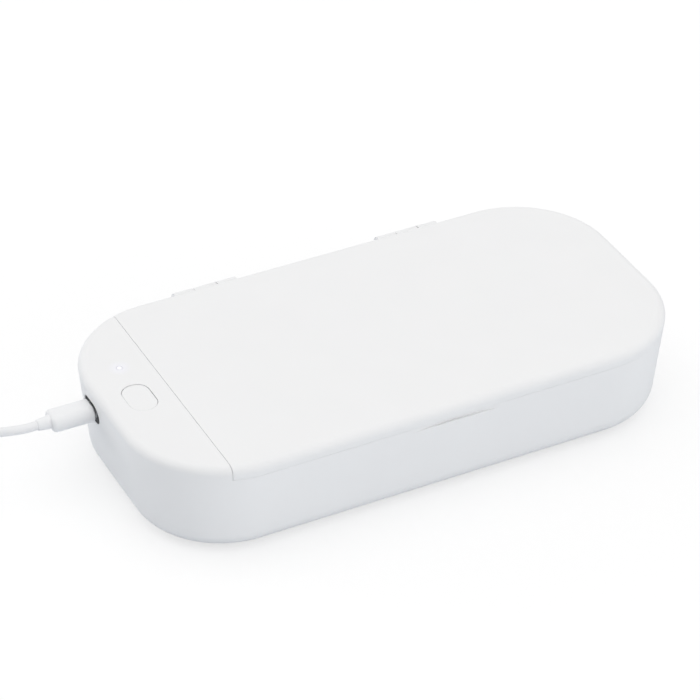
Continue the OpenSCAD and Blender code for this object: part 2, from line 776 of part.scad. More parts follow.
// Soft dots let into the flange, on which the lid comes down
module lid_buffers() {
    color("lightgray") in_frame() at(buffer_spots) translate([0, 0, rim_z - buffer_sunk])
        cylinder(r = buffer_r, h = buffer_sunk + buffer_proud);
}

module magnet_bar(x, y, z, l, w, h) {
    translate([x - l / 2, y - w / 2, z]) cube([l, w, h]);
}

module base_magnets() {
    color("dimgray") in_frame() for (i = [-1, 1])
        magnet_bar(notch_x + i * magnet_x, magnet_y, flange_z - magnet_h, magnet_l, magnet_w, magnet_h);
}

// The board under the deck, shaped to the case's round end
module control_board() {
    color("seagreen") in_frame() difference() {
        intersection() {
            slice(board_in, board_low, board_t);
            translate([-body_l / 2, -board_half, 0]) cube([board_x + body_l / 2, 2 * board_half, top_z]);
        }
        at(post_spots) translate([0, 0, board_low - 1])
            cylinder(r = small_screw_r + hole_play, h = board_t + 2);
    }
}

module board_screws() {
    color("silver") in_frame() at(post_spots) translate([0, 0, board_low - small_head_h])
        screw(small_screw_r, small_head_r, small_head_h, small_head_h + board_t + post_bore - 0.6);
}

// The parts on the board: a driver chip, a controller chip, a coil and two capacitors
module board_parts() {
    color("dimgray") in_frame() {
        translate([parts_x - driver.x / 2, driver_y, board_low - driver.z]) cube(driver);
        translate([parts_x - controller.x / 2, controller_y, board_low - controller.z]) cube(controller);
        translate([parts_x, inductor_y, board_low - inductor_r]) cylinder(r = inductor_r, h = inductor_r);
        for (y = capacitor_ys) translate([parts_x - capacitor.x / 2, y, board_low - capacitor.z])
            cube(capacitor);
    }
}

// The sensor that feels the lid's magnet
module lid_sensor() {
    color("black") in_frame() translate([board_x - 4.5, sensor_y - 1.5, board_top]) cube([3, 3, 1.1]);
}

module tact_switch() {
    color("dimgray") in_frame() translate([cap_x, 0, board_top]) difference() {
        translate([-switch_w / 2, -switch_w / 2, 0]) cube([switch_w, switch_w, switch_h]);
        translate([0, 0, switch_h - plunger_deep - button_travel - 0.4])
            cylinder(r = plunger_r + plunger_play, h = far / 10);
    }
}

module switch_plunger() {
    color("black") in_frame() translate([cap_x, 0, plunger_top - plunger_proud - plunger_deep])
        cylinder(r = plunger_r, h = plunger_proud + plunger_deep);
}

// The button: a cap level with the deck, a flange that keeps it in, and a hollow
// underside with a stem that bears on the switch
module button_cap() {
    flange_top = deck_low - cap_rest_gap;
    color("white") in_frame() translate([cap_x, 0, 0]) {
        difference() {
            union() {
                translate([0, 0, flange_top - cap_flange_h / 2])
                    linear_extrude(cap_top - flange_top + cap_flange_h / 2) pill(0);
                translate([0, 0, flange_top - cap_flange_h]) linear_extrude(cap_flange_h) pill(cap_flange);
            }
            translate([0, 0, flange_top - cap_flange_h - 1])
                linear_extrude(cap_top - cap_floor - flange_top + cap_flange_h + 1) pill(-cap_floor);
        }
        translate([0, 0, plunger_top]) cylinder(r = stem_r, h = cap_top - cap_floor / 2 - plunger_top);
    }
}

// The light pipe: a rod level with the deck, with a collar under it
module light_pipe() {
    color("aliceblue") in_frame() translate([pipe_x, pipe_y, 0]) {
        translate([0, 0, pipe_low]) cylinder(r = pipe_r, h = top_z - pipe_low);
        translate([0, 0, deck_low - pipe_collar_h]) cylinder(r = pipe_r + pipe_collar, h = pipe_collar_h);
    }
}

module status_led() {
    color("lightyellow") in_frame() translate([pipe_x - led_l / 2, pipe_y - led_w / 2, board_top])
        cube([led_l, led_w, led_h]);
}

// The dark ring that fills the port's hole round the socket, just inside the case's face
module port_ring() {
    front = -body_l / 2 + wall_in(port_z - port_h / 2) + 0.1;
    back = -body_l / 2 + wall_in(port_z) + wall;
    color("black") in_frame() difference() {
        port_bar(port_w - 2 * ring_gap, port_h - 2 * ring_gap, front, back);
        port_bar(socket_w + 2 * ring_gap, socket_h + 2 * ring_gap, front - 1, back + 1);
    }
}

// The socket's shell: folded sheet with a slot's outline, open to the left
module usb_socket() {
    color("silver") in_frame() difference() {
        port_bar(socket_w, socket_h, mouth_x, mouth_x + socket_l);
        port_bar(socket_w - 2 * sheet_t, socket_h - 2 * sheet_t, mouth_x - 1, mouth_x + socket_l - sheet_t);
    }
}

// The socket's insulator: a root that fills the shell's back, and a thin tongue
module socket_tongue() {
    back = mouth_x + socket_l - sheet_t;
    color("black") in_frame() {
        port_bar(socket_w - 2 * sheet_t - 0.02, socket_h - 2 * sheet_t - 0.02, back - tongue_root + 0.3, back);
        translate([back - tongue_root - tongue_l, port_y - tongue_w / 2, port_z - tongue_h / 2])
            cube([tongue_l + tongue_root, tongue_w, tongue_h]);
    }
}

// The lead that the case holds: down from the control board, round a bend and along
// under the tray to the lamp board
module lamp_lead() {
    top = board_low - plug_box.z;
    color("white") in_frame() {
        translate([lead_x, lead_y, lead_z + lead_bend]) cylinder(r = lead_r, h = top - lead_z - lead_bend);
        translate([lead_x + lead_bend, lead_y, lead_z + lead_bend]) rotate([90, 180, 0])
            rotate_extrude(angle = 90) translate([lead_bend, 0]) circle(lead_r);
        translate([lead_x + lead_bend, lead_y, lead_z]) rotate([0, 90, 0])
            cylinder(r = lead_r, h = lead_end_x - lead_x - lead_bend);
    }
}

module lead_connectors() {
    color("ivory") in_frame() {
        translate([lead_x - plug_box.x / 2, lead_y - plug_box.y / 2, board_low - plug_box.z]) cube(plug_box);
        translate([lead_end_x, lead_y - plug_box.y / 2, lamp_board_z + lamp_board_t])
            cube([plug_box.x, plug_box.y, 2.1]);
    }
}

// The lid's outer moulding, with its end wall, screw bosses and hinge knuckles
module lid_cover() {
    web_l = inner_room - 2 * knuckle_gap;
    color("white") in_frame() difference() {
        union() {
            intersection() {
                difference() {
                    body_block(0);
                    intersection() {
                        body_block(lid_wall);
                        between_x(lid_x + lid_wall, body_l / 2);
                    }
                }
                between_x(lid_x, body_l / 2 + past, lid_low);
            }
            at(lid_screw_spots) translate([0, 0, liner_top])
                cylinder(r = lid_boss_r, h = top_z - lid_wall / 2 - liner_top);
            at_hinges() {
                axis_bar(knuckle_r, -web_l / 2, web_l / 2);
                translate([-web_l / 2, body_w / 2 - lid_wall / 2, lid_low])
                    cube([web_l, axis_out + lid_wall / 2, knuckle_r * 0.85 - rim_gap]);
            }
        }
        at(lid_screw_spots) translate([0, 0, liner_top - 1])
            cylinder(r = lid_screw_r + screw_play, h = lid_screw_tip + 0.3 - liner_top + 1);
        at_hinges() {
            for (x_a = [-hinge_l / 2 - knuckle_gap, inner_room / 2 - knuckle_gap])
                axis_bar(knuckle_r + knuckle_gap, x_a, x_a + outer_knuckle + 2 * knuckle_gap);
            axis_bar(pin_r + pin_play, -hinge_l / 2, hinge_l / 2);
        }
    }
}

// The outline of the lip's outside, drawn in by inset
module lip_plan(inset) {
    rounded(chamber_a + lip_gap + inset, chamber_b - lip_gap - inset, chamber_half - lip_gap - inset,
        bay_corner_r - lip_gap - inset, corner_r - rim_w - lip_gap - inset);
}

// The lid's inner panel, with the lip that reaches into the chamber
module lid_liner() {
    color("whitesmoke") in_frame() difference() {
        union() {
            intersection() {
                slice(liner_in, lid_low, liner_t);
                between_x(lid_x + lid_wall + seat_gap, body_l / 2);
            }
            translate([0, 0, rim_z - lip_h]) linear_extrude(lip_h + rim_gap + liner_t / 2) difference() {
                lip_plan(0);
                lip_plan(lip_t);
            }
        }
        at(lid_screw_spots) translate([0, 0, lid_low - 1]) {
            cylinder(r = lid_screw_r + hole_play, h = liner_t + 2);
            cylinder(r = lid_head_r + hole_play / 2, h = 1 + lid_head_h);
        }
        at_hinges() axis_bar(knuckle_r + knuckle_gap, -hinge_l / 2 - knuckle_gap, hinge_l / 2 + knuckle_gap);
    }
}

// The polished sheet inside the lip
module lid_reflector() {
    color("silver") in_frame() translate([0, 0, lid_low - reflector_t]) linear_extrude(reflector_t)
        lip_plan(lip_t + seat_gap);
}

module lid_screws() {
    color("silver") in_frame() at(lid_screw_spots) translate([0, 0, lid_low])
        screw(lid_screw_r, lid_head_r, lid_head_h, lid_screw_tip - lid_low);
}

module lid_magnets() {
    color("dimgray") in_frame() {
        for (i = [-1, 1])
            magnet_bar(notch_x + i * magnet_x, magnet_y, liner_top, magnet_l, magnet_w, lid_magnet_h);
        magnet_bar(sensor_magnet_x, sensor_y, liner_top, sensor_magnet_l, sensor_magnet_w, lid_magnet_h);
    }
}

module hinge_pins() {
    color("silver") in_frame() at_hinges()
        axis_bar(pin_r, -hinge_l / 2 + pin_short, hinge_l / 2 - pin_short);
}

// The grip of the small plug
module plug_grip() {
    color("white") in_frame() port_bar(grip_w, grip_h, grip_back, grip_front);
}

// The small plug's metal shell, hollow where the socket's tongue goes
module plug_shell() {
    color("silver") in_frame() difference() {
        port_bar(plug_w, plug_h, grip_front, mouth_x + plug_in);
        port_bar(plug_w - 2 * sheet_t, plug_h - 2 * sheet_t, grip_front + 1, mouth_x + plug_in + 1);
    }
}

module plug_sleeve() {
    color("white") in_frame() translate([sleeve_back, port_y, port_z]) rotate([0, 90, 0])
        cylinder(r = sleeve_d / 2, h = sleeve_l);
}

// A tube along a line of points, closed at both ends
module tube(points, r, sides) {
    n = len(points);
    rings = [for (i = [0:n - 1]) each ring(points, i, r, sides)];
    skin = [for (i = [0:n - 2], k = [0:sides - 1])
        let (a = i * sides + k, b = i * sides + (k + 1) % sides)
        each [[a, a + sides, b], [b, a + sides, b + sides]]];
    start = [for (k = [1:sides - 2]) [0, k, k + 1]];
    end = [for (k = [1:sides - 2]) [(n - 1) * sides, (n - 1) * sides + k + 1, (n - 1) * sides + k]];
    polyhedron(points = rings, faces = concat(skin, start, end));
}

module cord_run() {
    color("white") in_frame() tube(run_points, cord_r, cord_sides);
}

module cord_coil() {
    color("white") in_frame() tube(coil_points, cord_r, coil_sides);
}

// The tie: a flat band round the bundle of turns
module coil_tie() {
    inner_a = coil_in - cord_r - tie_play - tie_w * tie_w / (8 * coil_in);
    inner_b = coil_out + cord_r + tie_play;
    high = coil_z + layer_pitch + cord_r + 0.1;
    color("gainsboro") in_frame() translate([coil_c.x, coil_c.y, 0]) rotate([0, 0, tie_angle])
        translate([inner_a - tie_t, -tie_w / 2, 0]) difference() {
            cube([inner_b - inner_a + 2 * tie_t, tie_w, high + tie_t]);
            translate([tie_t, -1, tie_t]) cube([inner_b - inner_a, tie_w + 2, high - tie_t]);
        }
}

// A bar with a rounded outline that lies along -Y from the far plug's start
module far_bar(w, h, r, from_y, length) {
    translate([far_x, far_y - from_y, far_z]) rotate([90, 0, 0]) linear_extrude(length)
        rounded(-w / 2, w / 2, h / 2, r, r);
}

// The grip of the far plug, with the neck where the cord enters
module far_plug_grip() {
    color("white") in_frame() {
        far_bar(far_grip_w, far_grip_h, far_edge_r, far_neck_l, far_grip_l);
        translate([far_x, far_y, far_z]) rotate([90, 0, 0]) cylinder(r = far_neck_d / 2, h = far_neck_l);
    }
}

module far_plug_shell() {
    start = far_neck_l + far_grip_l;
    color("silver") in_frame() difference() {
        far_bar(far_shell_w, far_shell_h, 0.4, start, far_shell_l);
        far_bar(far_shell_w - 2 * sheet_t, far_shell_h - 2 * sheet_t, 0.2, start + 0.5, far_shell_l);
    }
}

module far_plug_core() {
    start = far_neck_l + far_grip_l + 0.5;
    color("white") in_frame() intersection() {
        far_bar(far_shell_w - 2 * sheet_t, far_shell_h - 2 * sheet_t, 0.2, start, far_shell_l - 1.5);
        translate([far_x - far_shell_w, far_y - start - far_shell_l,
            far_z + far_shell_h / 2 - sheet_t - far_core_h])
            cube([2 * far_shell_w, far_shell_l + 1, far_core_h + 1]);
    }
}

base_shell();
bottom_cover();
cover_screws();
rubber_feet();
chamber_tray();
phone_ribs();
lamp_board();
lamp_board_screws();
uv_lamps();
lamp_windows();
lid_buffers();
base_magnets();
control_board();
board_screws();
board_parts();
lid_sensor();
tact_switch();
switch_plunger();
button_cap();
light_pipe();
status_led();
port_ring();
usb_socket();
socket_tongue();
lamp_lead();
lead_connectors();
lid_cover();
lid_liner();
lid_reflector();
lid_screws();
lid_magnets();
hinge_pins();
plug_grip();
plug_shell();
plug_sleeve();
cord_run();
cord_coil();
coil_tie();
far_plug_grip();
far_plug_shell();
far_plug_core();
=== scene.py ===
"""Dresses a phone sanitizer box: its camera and studio, its cord, its soft-edged mouldings and
a finish for every piece.  Sizes are in millimetres from the middle of the case, with the
control end at -X, the hinges at +Y and the table at Z = 0; to_frame moves them into the frame."""

import logging
import math
from dataclasses import dataclass, replace
from enum import Enum
from typing import Optional, Sequence

import bmesh
import bpy
import numpy as np
from mathutils import Matrix, Vector


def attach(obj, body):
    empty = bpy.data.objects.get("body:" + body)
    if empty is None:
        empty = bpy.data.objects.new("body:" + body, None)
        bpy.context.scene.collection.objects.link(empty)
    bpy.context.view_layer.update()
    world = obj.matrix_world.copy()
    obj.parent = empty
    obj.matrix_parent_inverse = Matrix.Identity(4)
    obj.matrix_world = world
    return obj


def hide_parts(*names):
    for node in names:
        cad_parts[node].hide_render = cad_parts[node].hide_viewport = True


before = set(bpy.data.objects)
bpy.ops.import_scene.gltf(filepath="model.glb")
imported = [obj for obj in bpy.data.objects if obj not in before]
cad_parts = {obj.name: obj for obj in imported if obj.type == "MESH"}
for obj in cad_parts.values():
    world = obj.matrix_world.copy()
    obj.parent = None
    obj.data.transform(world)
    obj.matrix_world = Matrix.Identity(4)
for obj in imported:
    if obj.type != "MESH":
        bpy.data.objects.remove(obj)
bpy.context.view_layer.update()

LOG = logging.getLogger("box")
Array = np.ndarray
Color = tuple[float, float, float]
Point = tuple[float, float, float]
Spot = tuple[float, float]
Socket = bpy.types.NodeSocket
MM = 0.001
PIXELS = 700
WHITE: Color = (1.0, 1.0, 1.0)
# The hinges stand behind the case, so the whole is moved forward by half of that.
FRAME_SHIFT = np.array([0.0, -2.4, 0.0])
# The radius of the small ring that ends a profile at its axis.
POLE = 0.01
# Points that lie nearer than this, in metres, are merged.
MERGE = 1e-7
# Where the indicator's light pipe stands.
PIPE_AXIS: Spot = (-95.5, 20.0)


class Body(Enum):
    """The moving bodies that pieces ride on."""

    BASE = "base"
    LID = "lid"
    BUTTON = "button"
    PLUG = "plug"


class Slot(Enum):
    """The record's material slots that the new pieces' finishes belong to."""

    CASE = "case_white"
    SOFT = "soft_grey"
    QUARTZ = "window_quartz"
    PIPE = "pipe_clear"
    CORD = "cord_white"
    TIE = "tie_grey"


class Axis(Enum):
    """An axis that rings stand across: the two axes of their plane, then the axis itself."""

    X = (1, 2, 0)
    Y = (0, 2, 1)
    Z = (0, 1, 2)


# Curves and rings


def to_frame(points: Array) -> Array:
    """Moves points from the case's millimetres into the frame's metres.

    Args:
        points: any array whose last axis is x, y, z.

    Returns:
        The same array in metres, moved by the frame's shift.
    """
    return (np.asarray(points, float) + FRAME_SHIFT) * MM


def grid_faces(rows: int, cols: int, closed: bool) -> Array:
    """Lists the quads between rings: each joins points j, j + 1 of rings i, i + 1.

    Args:
        rows: number of rings.
        cols: number of points in a ring; the last point meets the first.
        closed: whether the last ring meets the first one too.

    Returns:
        An (n, 4) array of point numbers.
    """
    i = np.arange(rows if closed else rows - 1)[:, None]
    j = np.arange(cols)[None, :]
    this, following, beside = i * cols, (i + 1) % rows * cols, (j + 1) % cols
    return np.stack([this + j, this + beside, following + beside, following + j], -1).reshape(-1, 4)


def oblong(width: float, height: float, radius: float, count: int = 64) -> Array:
    """A rounded rectangle as a ring: straight sides joined by quarter circles.

    Args:
        width: its size along the first axis.
        height: its size along the second axis.
        radius: its corner radius.
        count: number of points, a multiple of four.

    Returns:
        A (count, 2) ring that turns from the first axis to the second.
    """
    turn = np.linspace(0, np.pi / 2, count // 4) + np.arange(4)[:, None] * np.pi / 2
    signs = np.array([[1, 1], [-1, 1], [-1, -1], [1, -1]])
    centres = signs * [width / 2 - radius, height / 2 - radius]
    return (centres[:, None] + radius * np.stack([np.cos(turn), np.sin(turn)], -1)).reshape(-1, 2)


def quarter(radius: float, count: int) -> tuple[Array, Array]:
    """A quarter round between an end and a side, starting at the end.

    Args:
        radius: the round's radius.
        count: number of points.

    Returns:
        How far each point lies in from the side, the radius times one less the sine of an
        angle from 0 to 90 degrees, and how far from the end, the same with the cosine.
    """
    turn = np.linspace(0, np.pi / 2, count)
    return radius * (1 - np.sin(turn)), radius * (1 - np.cos(turn))


def rounded_bar(length: float, first: float, last: float, count: int) -> tuple[Array, Array]:
    """A bar whose section draws in along a quarter round at each end.

    Args:
        length: the bar's length.
        first: radius of the round at its start.
        last: radius of the round at its end.
        count: rings in each round.

    Returns:
        How far each ring draws in, and its place along the bar.
    """
    pull, place = quarter(first, count)
    end_pull, end_place = quarter(last, count)
    pulls = np.concatenate([pull, end_pull[::-1]])
    return pulls, np.concatenate([place, length - end_place[::-1]])


def ease(share: Array) -> Array:
    """A rise from 0 to 1 that starts and ends level: 3t^2 - 2t^3 of the share, kept to 0 to 1."""
    t = np.clip(share, 0, 1)
    return t * t * (3 - 2 * t)


def stand(rings: Array, along: Array, axis: Axis, centre: Sequence[float]) -> Array:
    """Sets plane rings across an axis.

    Args:
        rings: an (m, n, 2) array of rings in the plane across the axis.
        along: the place of each ring on the axis.
        axis: the axis.
        centre: x, y and z of the place that both are measured from.

    Returns:
        An (m, n, 3) array of points.
    """
    points = np.empty((*rings.shape[:2], 3))
    points[..., axis.value[:2]] = rings
    points[..., axis.value[2]] = np.asarray(along)[:, None]
    return points + np.asarray(centre, float)


def revolve(profile: Array, centre: Sequence[float], count: int = 48, axis: Axis = Axis.Z) -> Array:
    """Turns a profile about an axis.

    Args:
        profile: an (m, 2) array of radius and place along the axis.
        centre: x, y and z of the place that the profile is measured from.
        count: points round the axis.
        axis: the axis.

    Returns:
        (m, count, 3) rings: the radius times cosine and sine in the plane across the axis.
    """
    turn = np.linspace(0, 2 * np.pi, count, endpoint=False)
    circle = np.stack([np.cos(turn), np.sin(turn)], -1)
    return stand(profile[:, :1, None] * circle, profile[:, 1], axis, centre)


def pin_profile(radius: float, low: float, high: float, chamfer: float) -> Array:
    """The side of an upright pin whose lower rim is cut off at 45 degrees.

    Args:
        radius: the pin's radius.
        low: its lowest height.
        high: its highest height.
        chamfer: how much of the rim is cut off.

    Returns:
        A profile for revolve, from the axis to the axis.
    """
    foot = [[POLE, low], [radius - chamfer, low], [radius, low + chamfer]]
    return np.array(foot + [[radius, high], [POLE, high]])


def smooth_line(points: Array, count: int, fine: int = 400) -> Array:
    """Runs a curve through points: each span blends its ends' slopes by Hermite cubics.

    Args:
        points: an (n, 3) array of points on the line.
        count: how many points the smooth line gets, evenly apart.
        fine: how many points its length is measured with.

    Returns:
        A (count, 3) array with the same first and last points.
    """
    gaps = np.linalg.norm(np.diff(points, axis=0), axis=1)
    at = np.concatenate([[0], np.cumsum(gaps)])
    slope = np.gradient(points, at, axis=0, edge_order=1)
    where = np.linspace(0, at[-1], fine)
    span = np.clip(np.searchsorted(at, where, side="right") - 1, 0, len(points) - 2)
    gap = gaps[span][:, None]
    t = (where[:, None] - at[span][:, None]) / gap
    line = (
        (2 * t**3 - 3 * t**2 + 1) * points[span]
        + (t**3 - 2 * t**2 + t) * gap * slope[span]
        + (3 * t**2 - 2 * t**3) * points[span + 1]
        + (t**3 - t**2) * gap * slope[span + 1]
    )
    run = np.concatenate([[0], np.cumsum(np.linalg.norm(np.diff(line, axis=0), axis=1))])
    even = np.linspace(0, run[-1], count)
    return np.stack([np.interp(even, run, values) for values in line.T], -1)


@dataclass
class Skin:
    """A surface: its points in the case's millimetres and its faces.  Each array of faces
    holds the point numbers of faces with equally many corners."""

    points: Array
    faces: list[Array]

    @classmethod
    def loft(cls, rings: Array, closed: bool = False) -> "Skin":
        """Joins rings of points.

        Args:
            rings: an (m, n, 3) array, ring after ring, each turning the same way.
            closed: whether the last ring meets the first; otherwise each has a flat cap.

        Returns:
            The skin, without a gap.
        """
        rows, cols, _ = rings.shape
        faces = [grid_faces(rows, cols, closed)]
        if not closed:
            ring = np.arange(cols)
            faces.append(np.stack([ring[::-1], (rows - 1) * cols + ring]))
        return cls(rings.reshape(-1, 3), faces)

    @classmethod
    def joined(cls, skins: Sequence["Skin"]) -> "Skin":
        """Puts skins together as one.

        Args:
            skins: the skins, which may lie apart or run into each other.

        Returns:
            One skin with all their points and faces.
        """
        starts = np.cumsum([0] + [len(skin.points) for skin in skins])
        faces = [array + start for skin, start in zip(skins, starts) for array in skin.faces]
        return cls(np.concatenate([skin.points for skin in skins]), faces)


class Build:
    """Turns skins into Blender pieces that ride on the bodies."""

    @staticmethod
    def add(name: str, data: bpy.types.ID) -> bpy.types.Object:
        """Puts a mesh, a curve or a camera into the scene.

        Args:
            name: the object's name.
            data: what it shows.

        Returns:
            The new object, at the origin.
        """
        thing = bpy.data.objects.new(name, data)
        bpy.context.scene.collection.objects.link(thing)
        return thing

    @staticmethod
    def mesh(name: str, skin: Skin, smooth: bool = True) -> bpy.types.Object:
        """Makes a mesh object of a skin.

        Args:
            name: the object's name.
            skin: the skin.
            smooth: whether its faces shade smoothly.

        Returns:
            The new object, at the origin.
        """
        data = bpy.data.meshes.new(name)
        faces = [face for array in skin.faces for face in array.tolist()]
        data.from_pydata(to_frame(skin.points).tolist(), [], faces)
        data.polygons.foreach_set("use_smooth", [smooth] * len(data.polygons))
        data.validate()
        data.update()
        return Build.add(name, data)

    @staticmethod
    def moulding(name: str, skins: Sequence[Skin], sharp: float = 50.0) -> bpy.types.Object:
        """Makes a smooth piece of closed skins, with its faces turned outwards.

        Args:
            name: the piece's name.
            skins: the skins that it consists of.
            sharp: edges that turn by more degrees than this shade as sharp.

        Returns:
            The new object, at the origin.
        """
        piece = Build.mesh(name, Skin.joined(skins))
        work = bmesh.new()
        work.from_mesh(piece.data)
        bmesh.ops.remove_doubles(work, verts=work.verts, dist=MERGE)
        bmesh.ops.recalc_face_normals(work, faces=work.faces)
        work.to_mesh(piece.data)
        work.free()
        piece.data.set_sharp_from_angle(angle=math.radians(sharp))
        return piece

    @staticmethod
    def dress(
        piece: bpy.types.Object, body: Body, slot: Slot, finish: "Finish", *nodes: str
    ) -> bpy.types.Object:
        """Gives a piece its finish and its body, and hides the CAD nodes it stands for.

        Args:
            piece: the new piece.
            body: the body that it rides on.
            slot: the record's slot that its finish belongs to; it is not used.
            finish: its finish.
            nodes: the nodes that it stands for.

        Returns:
            The same piece.
        """
        piece.data.materials.clear()
        piece.data.materials.append(finish.material())
        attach(piece, body.value)
        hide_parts(*nodes)
        LOG.info("%s rides on %s", piece.name, body.value)
        return piece


# Materials


@dataclass(frozen=True)
class Noise:
    """A noise: how many cells it has in a metre, its detail, and its fine part's share."""

    cells: float
    detail: float
    rough: float

    @classmethod
    def of_size(cls, size: float, detail: float = 2.0, rough: float = 0.6) -> "Noise":
        """A noise whose cells have a size in millimetres."""
        return cls(1 / MM / size, detail, rough)


class Mixed(Enum):
    """What a Mix node blends: its kind, its first value's input and its output."""

    NUMBER = ("FLOAT", 2, 0)
    COLOR = ("RGBA", 6, 2)


class Tree:
    """A short way to write a node tree."""

    def __init__(self, owner: bpy.types.ID, kind: str) -> None:
        """Empties the tree of a material or a world and gives it an output node.

        Args:
            owner: the material or the world.
            kind: the output node's type.
        """
        owner.use_nodes = True
        self.tree = owner.node_tree
        self.tree.nodes.clear()
        self.surface = self.add(kind).inputs["Surface"]

    def feed(self, entry: Socket, value: object) -> None:
        """Links an output to an input, or sets the input's own value.

        Args:
            entry: the input.
            value: an output, a colour, or another value of the input's kind.
        """
        if isinstance(value, bpy.types.NodeSocket):
            self.tree.links.new(value, entry)
        else:
            entry.default_value = (*value, 1) if entry.type == "RGBA" else value

    def add(self, kind: str, *feeds: object, **values: object) -> bpy.types.Node:
        """Adds a node.

        Args:
            kind: the node's type.
            feeds: what its first inputs get, in their order.
            values: its properties, or its inputs by name with _ for a space.

        Returns:
            The new node.
        """
        node = self.tree.nodes.new(kind)
        for key, value in values.items():
            if hasattr(node, key):
                setattr(node, key, value)
            else:
                self.feed(node.inputs[key.replace("_", " ")], value)
        for entry, value in zip(node.inputs, feeds):
            self.feed(entry, value)
        return node

    def mix(self, share: object, first: bpy.types.Node, second: bpy.types.Node) -> bpy.types.Node:
        """Mixes two shaders: the first where the share is 0, the second where it is 1."""
        return self.add("ShaderNodeMixShader", share, first.outputs[0], second.outputs[0])

    def spread(self, value: Socket, low: float, high: float, at: Spot = (0.3, 0.7)) -> Socket:
        """Stretches a part of a value's range over a new range.

        Args:
            value: the value.
            low: what it becomes at the part's start and below it.
            high: what it becomes at the part's end and above it.
            at: the part's start and end.

        Returns:
            The new value.
        """
        ends = {"From_Min": at[0], "From_Max": at[1], "To_Min": low, "To_Max": high}
        return self.add("ShaderNodeMapRange", value, **ends).outputs["Result"]


class Graph(Tree):
    """The nodes of a material: one Principled shader and what feeds it."""

    def __init__(self, name: str) -> None:
        """Starts a material.

        Args:
            name: its name.
        """
        self.material = bpy.data.materials.new(name)
        super().__init__(self.material, "ShaderNodeOutputMaterial")
        self.shader = self.add("ShaderNodeBsdfPrincipled")
        self.feed(self.surface, self.shader.outputs[0])

    def set(self, **values: object) -> None:
        """Feeds the shader's inputs by name, with _ for a space."""
        for key, value in values.items():
            self.feed(self.shader.inputs[key.replace("_", " ")], value)

    def place(self, scale: Point = (1.0, 1.0, 1.0)) -> Socket:
        """Object coordinates in metres, scaled by a Mapping node."""
        coords = self.add("ShaderNodeTexCoord").outputs["Object"]
        return self.add("ShaderNodeMapping", Vector=coords, Scale=scale).outputs["Vector"]

    def noise(self, where: Socket, noise: Noise) -> Socket:
        """A noise value that lies mostly between 0.3 and 0.7."""
        looks = {"Scale": noise.cells, "Detail": noise.detail, "Roughness": noise.rough}
        return self.add("ShaderNodeTexNoise", Vector=where, **looks).outputs["Fac"]

    def blend(self, kind: Mixed, share: Socket, first: object, second: object) -> Socket:
        """Blends two colours or two numbers.

        Args:
            kind: which of the two.
            share: 0 gives the first, 1 the second.
            first: a colour or number of that kind, or an output.
            second: the same.

        Returns:
            The blended output.
        """
        name, entry, result = kind.value
        node = self.add("ShaderNodeMix", share, data_type=name)
        self.feed(node.inputs[entry], first)
        self.feed(node.inputs[entry + 1], second)
        return node.outputs[result]

    def cloud(self, value: Socket, color: Color, low: float, high: float = 1.0) -> None:
        """Gives the shader a colour that a value makes darker or lighter.

        Args:
            value: a noise value.
            color: the colour.
            low: the factor that it has at the value's 0.
            high: the factor that it has at the value's 1.
        """
        first, second = shade(color, low), shade(color, high)
        self.set(Base_Color=self.blend(Mixed.COLOR, value, first, second))

    def glow(self, axis: Spot, reach: Spot, strength: float, color: Color) -> None:
        """Lets the surface glow round an upright axis.

        Args:
            axis: the axis's x and y in the case's millimetres.
            reach: how far from the axis the glow is full, and where it ends.
            strength: the full glow's strength.
            color: its colour.
        """
        x, y, _ = to_frame(np.array([*axis, 0.0]))
        flat = self.add("ShaderNodeVectorMath", self.place(), (1, 1, 0), operation="MULTIPLY")
        off = self.add("ShaderNodeVectorMath", flat.outputs[0], (x, y, 0), operation="DISTANCE")
        ends = (reach[0] * MM, reach[1] * MM)
        fall = self.spread(off.outputs["Value"], strength, 0.0, ends)
        self.set(Emission_Strength=fall, Emission_Color=color)

    def bump(
        self, height: Socket, strength: float, distance: float, under: Optional[Socket] = None
    ) -> Socket:
        """Turns a height into a normal.

        Args:
            height: the height, from 0 to 1.
            strength: the share of it that counts.
            distance: what a height of 1 is in millimetres.
            under: the normal below it, or none for the surface's own.

        Returns:
            The new normal.
        """
        node = self.add("ShaderNodeBump", Height=height, Strength=strength, Distance=distance * MM)
        if under is not None:
            self.feed(node.inputs["Normal"], under)
        return node.outputs["Normal"]


def shade(color: Color, by: float) -> Color:
    """A colour made lighter or darker by a factor, kept from 0 to 1."""
    return tuple(min(1.0, max(0.0, part * by)) for part in color)


@dataclass(frozen=True)
class Finish:
    """A finish: it makes its material once and hands it out again.  Where a kind has tones or
    hazes, those are the factors of its colour or its roughness at a noise's two ends."""

    name: str
    color: Color
    roughness: float = 0.5

    def material(self) -> bpy.types.Material:
        """The finish's material, made at its first use.

        Returns:
            The material.
        """
        made = bpy.data.materials.get(self.name)
        if made is None:
            nodes = Graph(self.name)
            self.draw(nodes)
            made = nodes.material
        return made

    def draw(self, nodes: Graph) -> None:
        """Adds the nodes.  Each kind of finish has its own."""
        raise NotImplementedError


